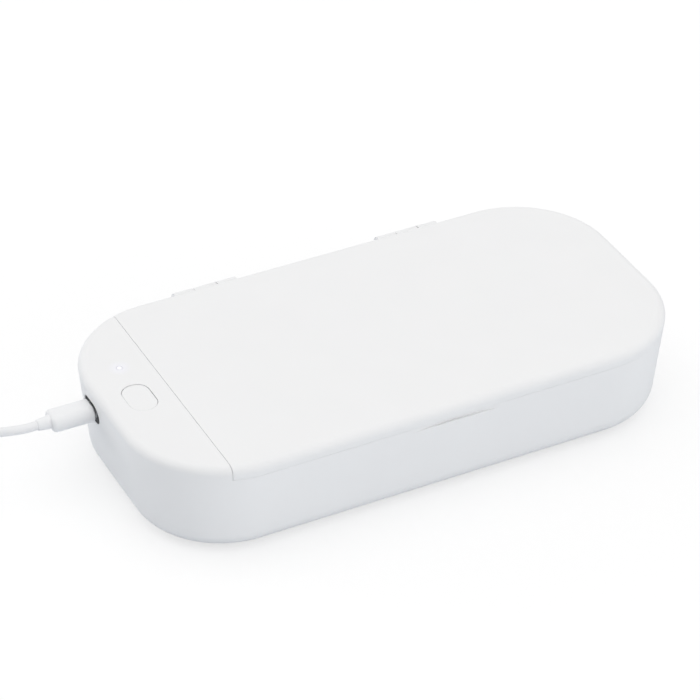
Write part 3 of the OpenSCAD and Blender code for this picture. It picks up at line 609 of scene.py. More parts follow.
@dataclass(frozen=True)
class MouldedPlastic(Finish):
    """Plastic with the fine spark-worn grain of its mould, a wide faint unevenness from
    cooling, and a sheen that changes with it.  Round a lit indicator a painted glow, emitted by
    the moulding itself, stands for its light.  Grain, depth, edge and reach are in millimetres."""

    grain: float = 0.25
    depth: float = 0.012
    relief: float = 0.5
    tone: float = 0.012
    uneven: float = 0.03
    wide: Noise = Noise(55.0, 2.0, 0.5)
    ior: float = 1.5
    edge: float = 0.0
    edge_samples: int = 6
    lit: Optional[Spot] = None
    painted_glow_reach: Spot = (1.2, 4.6)
    painted_glow_strength: float = 0.055
    painted_glow_color: Color = (0.3, 0.26, 1.0)

    def draw(self, nodes: Graph) -> None:
        """The grain lifts the surface, and a wide noise changes the tone and the sheen.

        Args:
            nodes: the material's nodes.
        """
        where = nodes.place()
        grain, wide = nodes.noise(where, Noise.of_size(self.grain)), nodes.noise(where, self.wide)
        under = None
        if self.edge:
            rounded = nodes.add("ShaderNodeBevel", samples=self.edge_samples, Radius=self.edge * MM)
            under = rounded.outputs["Normal"]
        nodes.cloud(wide, self.color, 1 - self.tone, 1 + self.tone)
        nodes.set(
            Roughness=nodes.spread(wide, self.roughness - self.uneven, self.roughness + self.uneven),
            Normal=nodes.bump(grain, self.relief, self.depth, under),
            IOR=self.ior,
        )
        # Painted glow: emission on the moulding round the indicator's axis stands for its light.
        if self.lit:
            nodes.glow(self.lit, self.painted_glow_reach, self.painted_glow_strength, self.painted_glow_color)


@dataclass(frozen=True)
class SoftRubber(Finish):
    """Silicone or rubber with a dusty, even surface.  Grain and depth are in millimetres."""

    grain: float = 0.35
    depth: float = 0.03
    relief: float = 0.6
    dust: Noise = Noise(160.0, 3.0, 0.6)
    tones: Spot = (0.95, 1.05)
    duller: Spot = (-0.06, 0.05)
    sheen: float = 0.15
    ior: float = 1.45

    def draw(self, nodes: Graph) -> None:
        """A close noise for the surface and a wide one for the dust's tone.

        Args:
            nodes: the material's nodes.
        """
        where = nodes.place()
        grain = nodes.noise(where, Noise.of_size(self.grain, 3.0, 0.65))
        dust = nodes.noise(where, self.dust)
        nodes.cloud(dust, self.color, *self.tones)
        nodes.set(
            Roughness=nodes.spread(dust, *(self.roughness + change for change in self.duller)),
            Normal=nodes.bump(grain, self.relief, self.depth),
            Sheen_Weight=self.sheen,
            IOR=self.ior,
        )


@dataclass(frozen=True)
class RolledMetal(Finish):
    """Plated or drawn metal with fine lines along the axis that has the smallest number.
    The lines' size and depth are in millimetres."""

    lines: Point = (1.0, 1.0, 1.0)
    line_size: float = 0.12
    depth: float = 0.006
    relief: float = 0.35
    stain: Noise = Noise(220.0, 3.0, 0.6)
    tones: Spot = (0.93, 1.05)
    hazes: Spot = (0.75, 1.3)

    def draw(self, nodes: Graph) -> None:
        """Stretched noise changes the roughness and lifts the surface by microns.

        Args:
            nodes: the material's nodes.
        """
        lines = nodes.noise(nodes.place(self.lines), Noise.of_size(self.line_size))
        nodes.cloud(nodes.noise(nodes.place(), self.stain), self.color, *self.tones)
        nodes.set(
            Roughness=nodes.spread(lines, *(self.roughness * factor for factor in self.hazes)),
            Normal=nodes.bump(lines, self.relief, self.depth),
            Metallic=1.0,
        )


@dataclass(frozen=True)
class MirrorLining(Finish):
    """Bright-plated plastic: a mirror with slight waves and a breath of haze.  Above a height
    the moulding is masked from the plating and stays white.  Heights and depth are in
    millimetres."""

    wave: Noise = Noise(34.0, 1.0, 0.4)
    depth: float = 0.35
    relief: float = 0.25
    haze: Noise = Noise(420.0, 4.0, 0.6)
    tones: Spot = (0.97, 1.02)
    hazes: Spot = (0.7, 1.5)
    masked_above: float = 1000.0
    mask_color: Color = (0.82, 0.825, 0.835)
    mask_roughness: float = 0.45
    mask_edge: float = 0.05

    def draw(self, nodes: Graph) -> None:
        """Long waves bend the reflection; a finer cloud changes the haze.

        Args:
            nodes: the material's nodes.
        """
        where = nodes.place()
        wave, haze = nodes.noise(where, self.wave), nodes.noise(where, self.haze)
        first, second = (shade(self.color, factor) for factor in self.tones)
        bright = nodes.blend(Mixed.COLOR, haze, first, second)
        hazy = nodes.spread(haze, *(self.roughness * factor for factor in self.hazes))
        height = nodes.add("ShaderNodeSeparateXYZ", where).outputs["Z"]
        ends = [(self.masked_above + side * self.mask_edge) * MM for side in (-1, 1)]
        plated = nodes.spread(height, 1.0, 0.0, ends)
        nodes.set(
            Base_Color=nodes.blend(Mixed.COLOR, plated, self.mask_color, bright),
            Roughness=nodes.blend(Mixed.NUMBER, plated, self.mask_roughness, hazy),
            Normal=nodes.bump(wave, self.relief, self.depth),
            Metallic=plated,
        )


@dataclass(frozen=True)
class ClearGlass(Finish):
    """Polished quartz."""

    faint: Noise = Noise(600.0, 3.0, 0.6)
    tone: float = 0.985
    hazes: Spot = (0.6, 1.4)
    ior: float = 1.46

    def draw(self, nodes: Graph) -> None:
        """A faint cloud keeps the surface from being perfect.

        Args:
            nodes: the material's nodes.
        """
        faint = nodes.noise(nodes.place(), self.faint)
        nodes.cloud(faint, self.color, self.tone)
        hazy = nodes.spread(faint, *(self.roughness * factor for factor in self.hazes))
        nodes.set(Roughness=hazy, Transmission_Weight=1.0, IOR=self.ior)


@dataclass(frozen=True)
class LitPipe(Finish):
    """Milky clear plastic lit from below: the glow falls from the rod's middle to its rim."""

    faint: Noise = Noise(900.0, 3.0, 0.6)
    tone: float = 0.985
    hazes: Spot = (0.7, 1.4)
    reach: Spot = (0.1, 1.1)
    strength: float = 0.34
    glow_color: Color = (0.93, 0.92, 1.0)

    def draw(self, nodes: Graph) -> None:
        """A faint cloud, and a glow that follows the distance from the rod's axis.

        Args:
            nodes: the material's nodes.
        """
        faint = nodes.noise(nodes.place(), self.faint)
        nodes.cloud(faint, self.color, self.tone)
        hazy = nodes.spread(faint, *(self.roughness * factor for factor in self.hazes))
        nodes.set(Roughness=hazy)
        nodes.glow(PIPE_AXIS, self.reach, self.strength, self.glow_color)


@dataclass(frozen=True)
class CircuitBoard(Finish):
    """Solder resist over copper: tracks show as raised lines of a lighter green.  Track and
    depths are in millimetres, and the pattern's sizes in tracks."""

    track: float = 1.6
    shift: float = 0.37
    gap: float = 0.09
    pitch: Spot = (2.7, 0.8)
    tones: Point = (0.9, 1.0, 1.7)
    track_depth: float = 0.035
    track_relief: float = 0.3
    weave: Noise = Noise(2600.0, 2.0, 0.5)
    weave_depth: float = 0.02
    weave_relief: float = 0.2
    coat: float = 0.25

    def draw(self, nodes: Graph) -> None:
        """Bricks stand for the tracks, and a fine noise for the weave of the board.

        Args:
            nodes: the material's nodes.
        """
        scaled = nodes.place((1 / MM / self.track,) * 3)
        names = ("Color1", "Color2", "Mortar")
        colors = {name: shade(self.color, factor) for name, factor in zip(names, self.tones)}
        width, height = self.pitch
        tracks = nodes.add(
            "ShaderNodeTexBrick", scaled, offset=self.shift, Scale=1.0, Mortar_Size=self.gap,
            Brick_Width=width, Row_Height=height, **colors,
        )
        weave = nodes.noise(nodes.place(), self.weave)
        under = nodes.bump(tracks.outputs["Fac"], self.track_relief, self.track_depth)
        nodes.set(
            Base_Color=tracks.outputs["Color"],
            Normal=nodes.bump(weave, self.weave_relief, self.weave_depth, under),
            Roughness=self.roughness,
            Coat_Weight=self.coat,
        )


CASE = MouldedPlastic("case_moulding", (0.866, 0.867, 0.870), 0.42, grain=0.28, depth=0.010, edge=0.1)
# The deck's moulding has a painted glow: emission round the light pipe stands for the indicator's
# light.
DECK_CASE_PAINTED_GLOW = replace(CASE, name="deck_moulding_painted_glow", lit=PIPE_AXIS)
DECK_CAP = MouldedPlastic("button_moulding", CASE.color, 0.38, grain=0.3, depth=0.008)
LINER = MouldedPlastic("liner_moulding", (0.83, 0.835, 0.845), 0.5, grain=0.4, depth=0.016, edge=0.25)
COVER = MouldedPlastic("cover_moulding", (0.84, 0.843, 0.85), 0.5, grain=0.4, depth=0.02, edge=0.25)
CORD_SKIN = MouldedPlastic("cord_skin", (0.84, 0.845, 0.855), 0.5, grain=0.35, depth=0.02, tone=0.02)
PLUG_SKIN = MouldedPlastic("plug_skin", (0.86, 0.865, 0.875), 0.4, grain=0.3)
LED_BODY = MouldedPlastic("led_body", (0.9, 0.87, 0.66), 0.35, grain=0.2)
CERAMIC = MouldedPlastic("lamp_ceramic", (0.78, 0.72, 0.52), 0.45, grain=0.15, depth=0.01)
CHIP = MouldedPlastic("part_epoxy", (0.03, 0.03, 0.034), 0.5, grain=0.2, depth=0.02)
RING = MouldedPlastic("port_ring_plastic", (0.018, 0.018, 0.020), 0.55, grain=0.2, depth=0.01)
IVORY = MouldedPlastic("connector_ivory", (0.80, 0.77, 0.68), 0.45)
WIRE = MouldedPlastic("lead_skin", (0.78, 0.78, 0.78), 0.42, grain=0.2)
CORE = MouldedPlastic("plug_core", (0.80, 0.81, 0.82), 0.4, grain=0.2)
FOOT_RUBBER = SoftRubber("foot_rubber", (0.55, 0.56, 0.57), 0.8)
RIB_SILICONE = SoftRubber("rib_silicone", (0.62, 0.63, 0.645), 0.62)
BUFFER_SILICONE = SoftRubber("buffer_silicone", (0.66, 0.67, 0.68), 0.66)
TIE_STRAP = SoftRubber("tie_strap", (0.70, 0.71, 0.72), 0.75, grain=0.5)
PLATED_SCREW = RolledMetal("plated_screw", (0.66, 0.67, 0.68), 0.3, (1, 1, 0.2))
DRAWN_PIN = RolledMetal("drawn_pin", (0.62, 0.63, 0.64), 0.28, (0.05, 1, 1))
PORT_STEEL = RolledMetal("port_steel", (0.68, 0.69, 0.70), 0.26, (0.08, 1, 1))
MAGNET_PLATE = RolledMetal("magnet_plating", (0.50, 0.50, 0.51), 0.22, line_size=0.3)
LINING = MirrorLining("mirror_plating", (0.86, 0.875, 0.89), 0.09)
TRAY_LINING = replace(LINING, name="tray_plating", masked_above=34.0)
QUARTZ = ClearGlass("window_quartz", (0.96, 0.98, 1.0), 0.04)
PIPE = LitPipe("light_pipe_clear", (0.86, 0.86, 0.90), 0.3)
BOARD = CircuitBoard("board_resist", (0.03, 0.20, 0.09), 0.32)


# Camera and studio


@dataclass
class CameraRig:
    """The camera of the photograph, found by fitting the case's outline to it.  Angles are in
    degrees; the azimuth is counted from the front towards the right."""

    azimuth: float = -26.993
    elevation: float = 35.626
    distance: float = 1244.4
    focal_pixels: float = 3262.4
    target: Point = (-1.793, 16.994, 21.0)
    roll: float = 0.232
    sensor: float = 36.0
    clip: Spot = (0.05, 20.0)

    def build(self) -> None:
        """Makes the camera: it looks at the target from its azimuth and elevation."""
        az, el, roll = (math.radians(angle) for angle in (self.azimuth, self.elevation, self.roll))
        back = Vector((math.sin(az) * math.cos(el), -math.cos(az) * math.cos(el), math.sin(el)))
        right = Vector((0, 0, 1)).cross(back).normalized()
        up = back.cross(right)
        turned_right = right * math.cos(roll) + up * math.sin(roll)
        turned_up = -right * math.sin(roll) + up * math.cos(roll)
        data = bpy.data.cameras.new("photo_camera")
        data.sensor_fit = "HORIZONTAL"
        data.sensor_width = self.sensor
        data.lens = self.focal_pixels * self.sensor / PIXELS
        data.clip_start, data.clip_end = self.clip
        camera = Build.add("photo_camera", data)
        place = Vector(to_frame(np.array(self.target))) + back * self.distance * MM
        turn = Matrix((turned_right, turned_up, back)).transposed()
        camera.matrix_world = Matrix.Translation(place) @ turn.to_4x4()
        bpy.context.scene.camera = camera


@dataclass
class Studio:
    """A white floor in a white room whose light comes from above and from both sides, while
    the side of the camera is darker.  A lobe has an azimuth from +X to +Y, an elevation, a
    strength and a power: its light is its strength times the cosine of the angle to it,
    raised to its power.  Angles are in degrees."""

    ambient: float = 0.24
    lobes: tuple[tuple[float, float, float, float], ...] = (
        (0.0, 90.0, 1.50, 3.0),
        (60.0, 12.0, 0.50, 12.0),
        (128.0, 12.0, 2.40, 12.0),
        (270.0, 12.0, 0.72, 12.0),
        (300.0, 12.0, 1.72, 12.0),
    )
    mirrored: Spot = (0.78, 1.08)
    mirrored_color: Color = (0.8, 0.8, 0.8)
    floor_half: float = 6000.0
    floor_color: Color = (0.78, 0.81, 0.85)
    floor_glow: float = 0.62

    def build(self) -> None:
        """Makes the room and the floor, and sets the view transform."""
        self.make_room()
        self.make_floor()
        bpy.context.scene.view_settings.view_transform = "Standard"

    def lobe(self, nodes: Tree, aim: Socket, angles: Spot, strength: float, power: float) -> Socket:
        """One lobe's light.

        Args:
            nodes: the room's nodes.
            aim: the direction that is looked in.
            angles: the lobe's azimuth and elevation.
            strength: its strength.
            power: its power.

        Returns:
            The light that comes from the direction.
        """
        az, el = (math.radians(angle) for angle in angles)
        toward = (math.cos(az) * math.cos(el), math.sin(az) * math.cos(el), math.sin(el))
        dot = nodes.add("ShaderNodeVectorMath", aim, toward, operation="DOT_PRODUCT")
        light = dot.outputs["Value"]
        for operation, value in (("MAXIMUM", 0.0), ("POWER", power), ("MULTIPLY", strength)):
            light = nodes.add("ShaderNodeMath", light, value, operation=operation).outputs[0]
        return light

    def make_room(self) -> None:
        """The world's light: an even part and the lobes.  The camera sees plain white, and
        mirrors see a white that brightens from the horizon upwards."""
        world = bpy.data.worlds.new("room")
        bpy.context.scene.world = world
        nodes = Tree(world, "ShaderNodeOutputWorld")
        aim = nodes.add("ShaderNodeTexCoord").outputs["Generated"]
        total: object = self.ambient
        for azimuth, elevation, strength, power in self.lobes:
            light = self.lobe(nodes, aim, (azimuth, elevation), strength, power)
            total = nodes.add("ShaderNodeMath", light, total, operation="ADD").outputs[0]
        height = nodes.add("ShaderNodeSeparateXYZ", aim).outputs["Z"]
        rise = nodes.spread(height, *self.mirrored, (0.0, 1.0))
        lamps = nodes.add("ShaderNodeBackground", WHITE, total)
        mirrored = nodes.add("ShaderNodeBackground", self.mirrored_color, rise)
        seen = nodes.add("ShaderNodeBackground", WHITE, 1.0)
        path = nodes.add("ShaderNodeLightPath").outputs
        unseen = nodes.mix(path["Is Glossy Ray"], lamps, mirrored)
        nodes.feed(nodes.surface, nodes.mix(path["Is Camera Ray"], unseen, seen).outputs[0])

    def make_floor(self) -> None:
        """A wide plane: for the camera part of its white is its own, so that shadows stay soft."""
        corners = self.floor_half * np.array([[-1, -1, 0], [1, -1, 0], [1, 1, 0], [-1, 1, 0]])
        floor = Build.mesh("floor", Skin(corners, [np.arange(4)[None]]), smooth=False)
        nodes = Graph("floor_paper")
        nodes.set(Base_Color=self.floor_color, Roughness=1.0, Specular_IOR_Level=0.0)
        plain = nodes.add("ShaderNodeBsdfDiffuse", WHITE)
        own = nodes.add("ShaderNodeEmission", WHITE, 1.0)
        seen = nodes.mix(self.floor_glow, plain, own)
        camera_ray = nodes.add("ShaderNodeLightPath").outputs["Is Camera Ray"]
        nodes.feed(nodes.surface, nodes.mix(camera_ray, nodes.shader, seen).outputs[0])
        floor.data.materials.append(nodes.material)


# Cord and plugs


@dataclass
class Cord:
    """The supply cord: a free run down from the plug and a coil of two layers.  Each step of
    the run is how far it has gone to the left, to the back and up from the sleeve's end."""

    diameter: float = 3.5
    length: float = 1000.0
    sleeve_end: Point = (-131.0, 14.8, 30.0)
    coil_z: float = 2.25
    steps: tuple[Point, ...] = (
        (0, 0, 0), (4, 0, 0), (9, 0.7, 0.1), (14, 2.2, 0), (20, 3.8, -1), (26, 5.4, -3.2),
        (32, 6.8, -6.6), (38, 8, -10.8), (44, 8.9, -15.4), (50, 9.6, -19.6), (56, 10, -23.2),
        (62, 10.2, -25.8),
    )
    run_end: Spot = (72.0, 10.2)
    run_lead: float = 0.5
    run_points: int = 60
    turns: float = 7.25
    turn_points: int = 36
    pitch: float = 4.1
    layer: float = 4.0
    mean_r: float = 19.7
    tail: float = 20.0
    tail_points: int = 10
    sink: Spot = (0.2, 0.6)
    far_z: float = 4.0
    bevel_steps: int = 4

    @property
    def outer_r(self) -> float:
        """Radius of the outermost turn."""
        return self.mean_r + self.pitch * self.turns / 4

    @property
    def inner_r(self) -> float:
        """Radius of the innermost turn."""
        return self.mean_r - self.pitch * self.turns / 4

    @property
    def run_stop(self) -> Array:
        """Where the run is level with the coil."""
        x, y, _ = self.sleeve_end
        return np.array([x - self.run_end[0], y + self.run_end[1], self.coil_z])

    @property
    def centre(self) -> Array:
        """Middle of the coil."""
        return np.array([self.run_stop[0] - self.diameter, self.run_stop[1] - self.outer_r])

    @property
    def far_point(self) -> Array:
        """Where the cord enters the far plug."""
        return np.array([self.centre[0] - self.outer_r, self.centre[1] - self.tail, self.far_z])

    def run(self) -> Array:
        """The free run: its steps from the sleeve's end, then level into the coil.

        Returns:
            An (n, 3) array of points.
        """
        x, y, z = self.sleeve_end
        left, back, up = np.array(self.steps).T
        points = np.stack([x - left, y + back, z + up], -1)
        lead = self.run_stop + [self.diameter + self.run_lead, 0, 0]
        return smooth_line(np.vstack([points, lead, self.run_stop]), self.run_points)

    def coil(self) -> Array:
        """The coil: its radius falls to the middle turn and grows again at the same rate, and
        it climbs one layer in the half turn about the middle.

        Returns:
            An (n, 3) array of points.
        """
        share = np.linspace(0, 1, int(self.turns * self.turn_points) + 1)
        turned = (share - 0.5) * self.turns
        radius = self.inner_r + self.pitch * np.abs(turned)
        angle = np.pi / 2 + share * self.turns * 2 * np.pi
        x, y = self.centre
        height = self.coil_z + self.layer * ease(turned * 2 + 0.5)
        return np.stack([x + radius * np.cos(angle), y + radius * np.sin(angle), height], -1)

    def tail_line(self) -> Array:
        """The last stretch, straight in plan, which sinks to the far plug's level.

        Returns:
            An (n, 3) array of points.
        """
        share = np.linspace(0, 1, self.tail_points)[1:]
        start, reach = self.sink
        top = self.coil_z + self.layer
        height = top + ease((share - start) / reach) * (self.far_z - top)
        x, y = self.centre[0] - self.outer_r, self.centre[1]
        return np.stack([np.full_like(share, x), y - share * self.tail, height], -1)

    def build(self) -> bpy.types.Object:
        """Makes the cord as one curve.

        Returns:
            The cord.
        """
        points = np.vstack([self.run(), self.coil(), self.tail_line()])
        data = bpy.data.curves.new("cord", "CURVE")
        data.dimensions = "3D"
        data.bevel_depth = self.diameter / 2 * MM
        data.bevel_resolution = self.bevel_steps
        data.use_fill_caps = True
        spline = data.splines.new("POLY")
        spline.points.add(len(points) - 1)
        flat = np.concatenate([to_frame(points), np.ones((len(points), 1))], 1)
        spline.points.foreach_set("co", flat.reshape(-1))
        spline.use_smooth = True
        measured = np.linalg.norm(np.diff(points, axis=0), axis=1).sum()
        LOG.info("cord is %.1f mm long in %d points", measured, len(points))
        cord = Build.add("cord", data)
        return Build.dress(cord, Body.PLUG, Slot.CORD, CORD_SKIN, "cord_run", "cord_coil")


@dataclass
class SmallPlug:
    """The grip and the sleeve of the plug in the box's port.  Each step of the sleeve's root
    is a place behind the grip and how far the radius is smaller there, and least_flat keeps
    the corners of the section a little smaller than half its height."""

    front: float = -109.79
    width: float = 10.5
    height: float = 6.6
    length: float = 16.25
    middle: Spot = (14.8, 30.0)
    front_round: float = 0.5
    back_round: float = 1.6
    section_points: int = 96
    least_flat: float = 1e-4
    sleeve_d: float = 5.2
    tip_d: float = 4.3
    sleeve_length: float = 5.0
    root: tuple[Spot, ...] = ((-0.6, 0.0), (0.0, 0.0), (0.4, 0.0), (0.8, 0.02))
    tip_round: float = 0.5

    def grip(self) -> bpy.types.Object:
        """A bar of oblong section: near each end the section draws in along a quarter circle.

        Returns:
            The grip.
        """
        pulls, place = rounded_bar(self.length, self.front_round, self.back_round, count=8)
        widths, heights = self.width - 2 * pulls, self.height - 2 * pulls
        rings = [
            oblong(width, height, height / 2 - self.least_flat, self.section_points)
            for width, height in zip(widths, heights)
        ]
        skin = Skin.loft(stand(np.array(rings), -place, Axis.X, (self.front, *self.middle)))
        piece = Build.moulding("plug_grip_moulding", [skin])
        return Build.dress(piece, Body.PLUG, Slot.CORD, PLUG_SKIN, "plug_grip")

    def sleeve(self) -> bpy.types.Object:
        """A short cone with a rounded tip, turned about the cord's line.

        Returns:
            The sleeve.
        """
        root, smaller = np.array(self.root).T
        short, pull = quarter(self.tip_round, count=6)
        place = np.concatenate([root, self.sleeve_length - short])
        radius = np.concatenate([self.sleeve_d / 2 - smaller, self.tip_d / 2 - pull])
        start = (self.front - self.length, *self.middle)
        skin = Skin.loft(revolve(np.stack([radius, -place], -1), start, axis=Axis.X))
        piece = Build.moulding("plug_sleeve_moulding", [skin])
        return Build.dress(piece, Body.PLUG, Slot.CORD, PLUG_SKIN, "plug_sleeve")

    def build(self) -> list[bpy.types.Object]:
        """Makes both pieces."""
        return [self.grip(), self.sleeve()]


@dataclass
class FarPlug:
    """The grip of the plug at the cord's far end, beside the coil."""

    start: Point
    width: float = 15.0
    height: float = 8.0
    length: float = 24.0
    corner: float = 2.5
    corner_pull: float = 0.6
    edge: float = 1.0
    neck_d: float = 6.4
    neck_length: float = 5.0
    neck_in: float = 0.4
    neck_taper: float = 0.5
    neck_rings: int = 15
    ridges: int = 3
    ridge: float = 0.22

    def grip(self) -> Skin:
        """A bar of rounded section whose ends draw in.

        Returns:
            The bar.
        """
        pulls, place = rounded_bar(self.length, self.edge, self.edge, count=6)
        rings = [
            oblong(self.width - 2 * pull, self.height - 2 * pull, self.corner - pull * self.corner_pull)
            for pull in pulls
        ]
        return Skin.loft(stand(np.array(rings), -self.neck_length - place, Axis.Y, self.start))

    def neck(self) -> Skin:
        """A cone whose ridges are a cosine of the way along it.

        Returns:
            The neck.
        """
        share = np.linspace(0, 1, self.neck_rings)
        ridge = self.ridge * (np.cos(2 * np.pi * self.ridges * share) - 1)
        radius = self.neck_d / 2 + ridge - self.neck_taper * (1 - share)
        reach = share * (self.neck_length + self.neck_in)
        profile = np.stack([radius, -reach], -1)
        return Skin.loft(revolve(profile, self.start, count=40, axis=Axis.Y))

    def build(self) -> bpy.types.Object:
        """Makes the grip with its neck.

        Returns:
            The far plug's grip.
        """
        piece = Build.moulding("far_plug_moulding", [self.grip(), self.neck()])
        return Build.dress(piece, Body.PLUG, Slot.CORD, PLUG_SKIN, "far_plug_grip")


@dataclass
class CoilTie:
    """A soft band round the bundle of turns, with some room inside and outside of them.  Its
    corners have one radius outside, one in the middle of its thickness and one inside.  The
    numbers in across are the rings' places as shares of the width, and those in rims how far
    each draws in, as a share of the way to that middle."""

    cord: Cord
    room: Spot = (2.8, 2.55)
    high: float = 8.55
    thickness: float = 0.45
    width: float = 5.0
    angle: float = 135.0
    corners: Point = (1.6, 1.4, 1.1)
    across: tuple[float, ...] = (-0.5, -0.47, 0.47, 0.5)
    rims: tuple[float, ...] = (0.12, 0.0, 0.0, 0.12)

    def build(self) -> bpy.types.Object:
        """The band's path is a rounded rectangle in the upright plane through the coil's axis.
        Its outer and inner faces draw towards the middle of the thickness at their rims.

        Returns:
            The tie.
        """
        inner, outer = self.cord.inner_r - self.room[0], self.cord.outer_r + self.room[1]
        reach = outer - inner
        outside, middle, inside = (
            oblong(reach - step * self.thickness, self.high - step * self.thickness, corner)
            for step, corner in enumerate(self.corners)
        )
        rims = np.array(self.rims)[:, None, None]
        rings = np.concatenate([face + (middle - face) * rims for face in (outside, inside)])
        across = np.array(self.across) * self.width
        along = np.concatenate([across, across[::-1]])
        points = stand(rings, along, Axis.Y, ((inner + outer) / 2, 0, self.high / 2))
        turn = math.radians(self.angle)
        x, y = points[..., 0].copy(), points[..., 1].copy()
        points[..., 0] = self.cord.centre[0] + x * math.cos(turn) - y * math.sin(turn)
        points[..., 1] = self.cord.centre[1] + x * math.sin(turn) + y * math.cos(turn)
        piece = Build.moulding("tie_band", [Skin.loft(points, closed=True)])
        return Build.dress(piece, Body.PLUG, Slot.TIE, TIE_STRAP, "coil_tie")


# Mouldings


@dataclass
class CaseForm:
    """The sizes that the case and its lid share, and the outline that both follow.  The lid's
    lower edge, lid_low, lies 0.16 lower than on the CAD node, so that the parting line is as
    faint as in the photograph."""

    length: float = 220.0
    width: float = 111.0
    top_z: float = 41.0
    corner: float = 38.0
    top_r: float = 3.2
    draft: float = 2.8
    knee_z: float = 37.8
    heel_z: float = 9.0
    lid_low: float = 35.54
    lid_x: float = -83.84
    lid_wall: float = 2.0
    axis_y: float = 57.1
    axis_z: float = 35.5
    knuckle_r: float = 3.2
    hinge_x: float = 43.5
    arc_points: int = 14
    side_points: int = 26
    end_points: int = 8
    seam_points: int = 32

    @property
    def tilt(self) -> float:
        """How far the wall leans, in radians."""
        return math.atan(self.draft / (self.knee_z - self.heel_z))

    @property
    def crest_in(self) -> float:
        """The outline's inset where the top round meets the flat top."""
        return self.top_r / math.cos(self.tilt)

    def wall_in(self, z: Array) -> Array:
        """The wall's inset at a height: it grows evenly downwards from the top round."""
        return self.draft * (self.knee_z - z) / (self.knee_z - self.heel_z)

    def lid_ring(self, inset: float, z: float, from_seam: float) -> Array:
        """One ring of the lid: round both right corners, along the sides and back by the seam.

        Args:
            inset: how far the ring lies inside the case's outline.
            z: its height.
            from_seam: how far it lies behind the lid's end at the seam.

        Returns:
            An (n, 3) closed ring: corner points are the corner's centre plus the radius times
            cosine and sine, and the arcs at the seam start where x meets the lid's end.
        """
        radius = self.corner - inset
        mid_x, mid_y = self.length / 2 - self.corner, self.width / 2 - self.corner
        end_x = self.lid_x + from_seam
        first = math.acos(min(1.0, (-mid_x - end_x) / radius)) if end_x < -mid_x else math.pi / 2
        left = np.linspace(first, math.pi / 2, self.arc_points)
        turn = np.linspace(0, math.pi / 2, 2 * self.arc_points)
        along = np.linspace(-mid_x, mid_x, self.side_points)[1:-1]
        end = np.linspace(-mid_y, mid_y, self.end_points)[1:-1]
        front = np.concatenate([
            np.stack([-mid_x - radius * np.cos(left), -mid_y - radius * np.sin(left)], -1),
            np.stack([along, np.full_like(along, -mid_y - radius)], -1),
            np.stack([mid_x + radius * np.sin(turn), -mid_y - radius * np.cos(turn)], -1),
        ])
        seam = np.linspace(-front[0, 1], front[0, 1], self.seam_points)[1:-1]
        right = np.stack([np.full_like(end, mid_x + radius), end], -1)
        left_end = np.stack([np.full_like(seam, end_x), seam], -1)
        ring = np.concatenate([front, right, front[::-1] * [1, -1], left_end])
        return np.column_stack([ring, np.full(len(ring), z)])


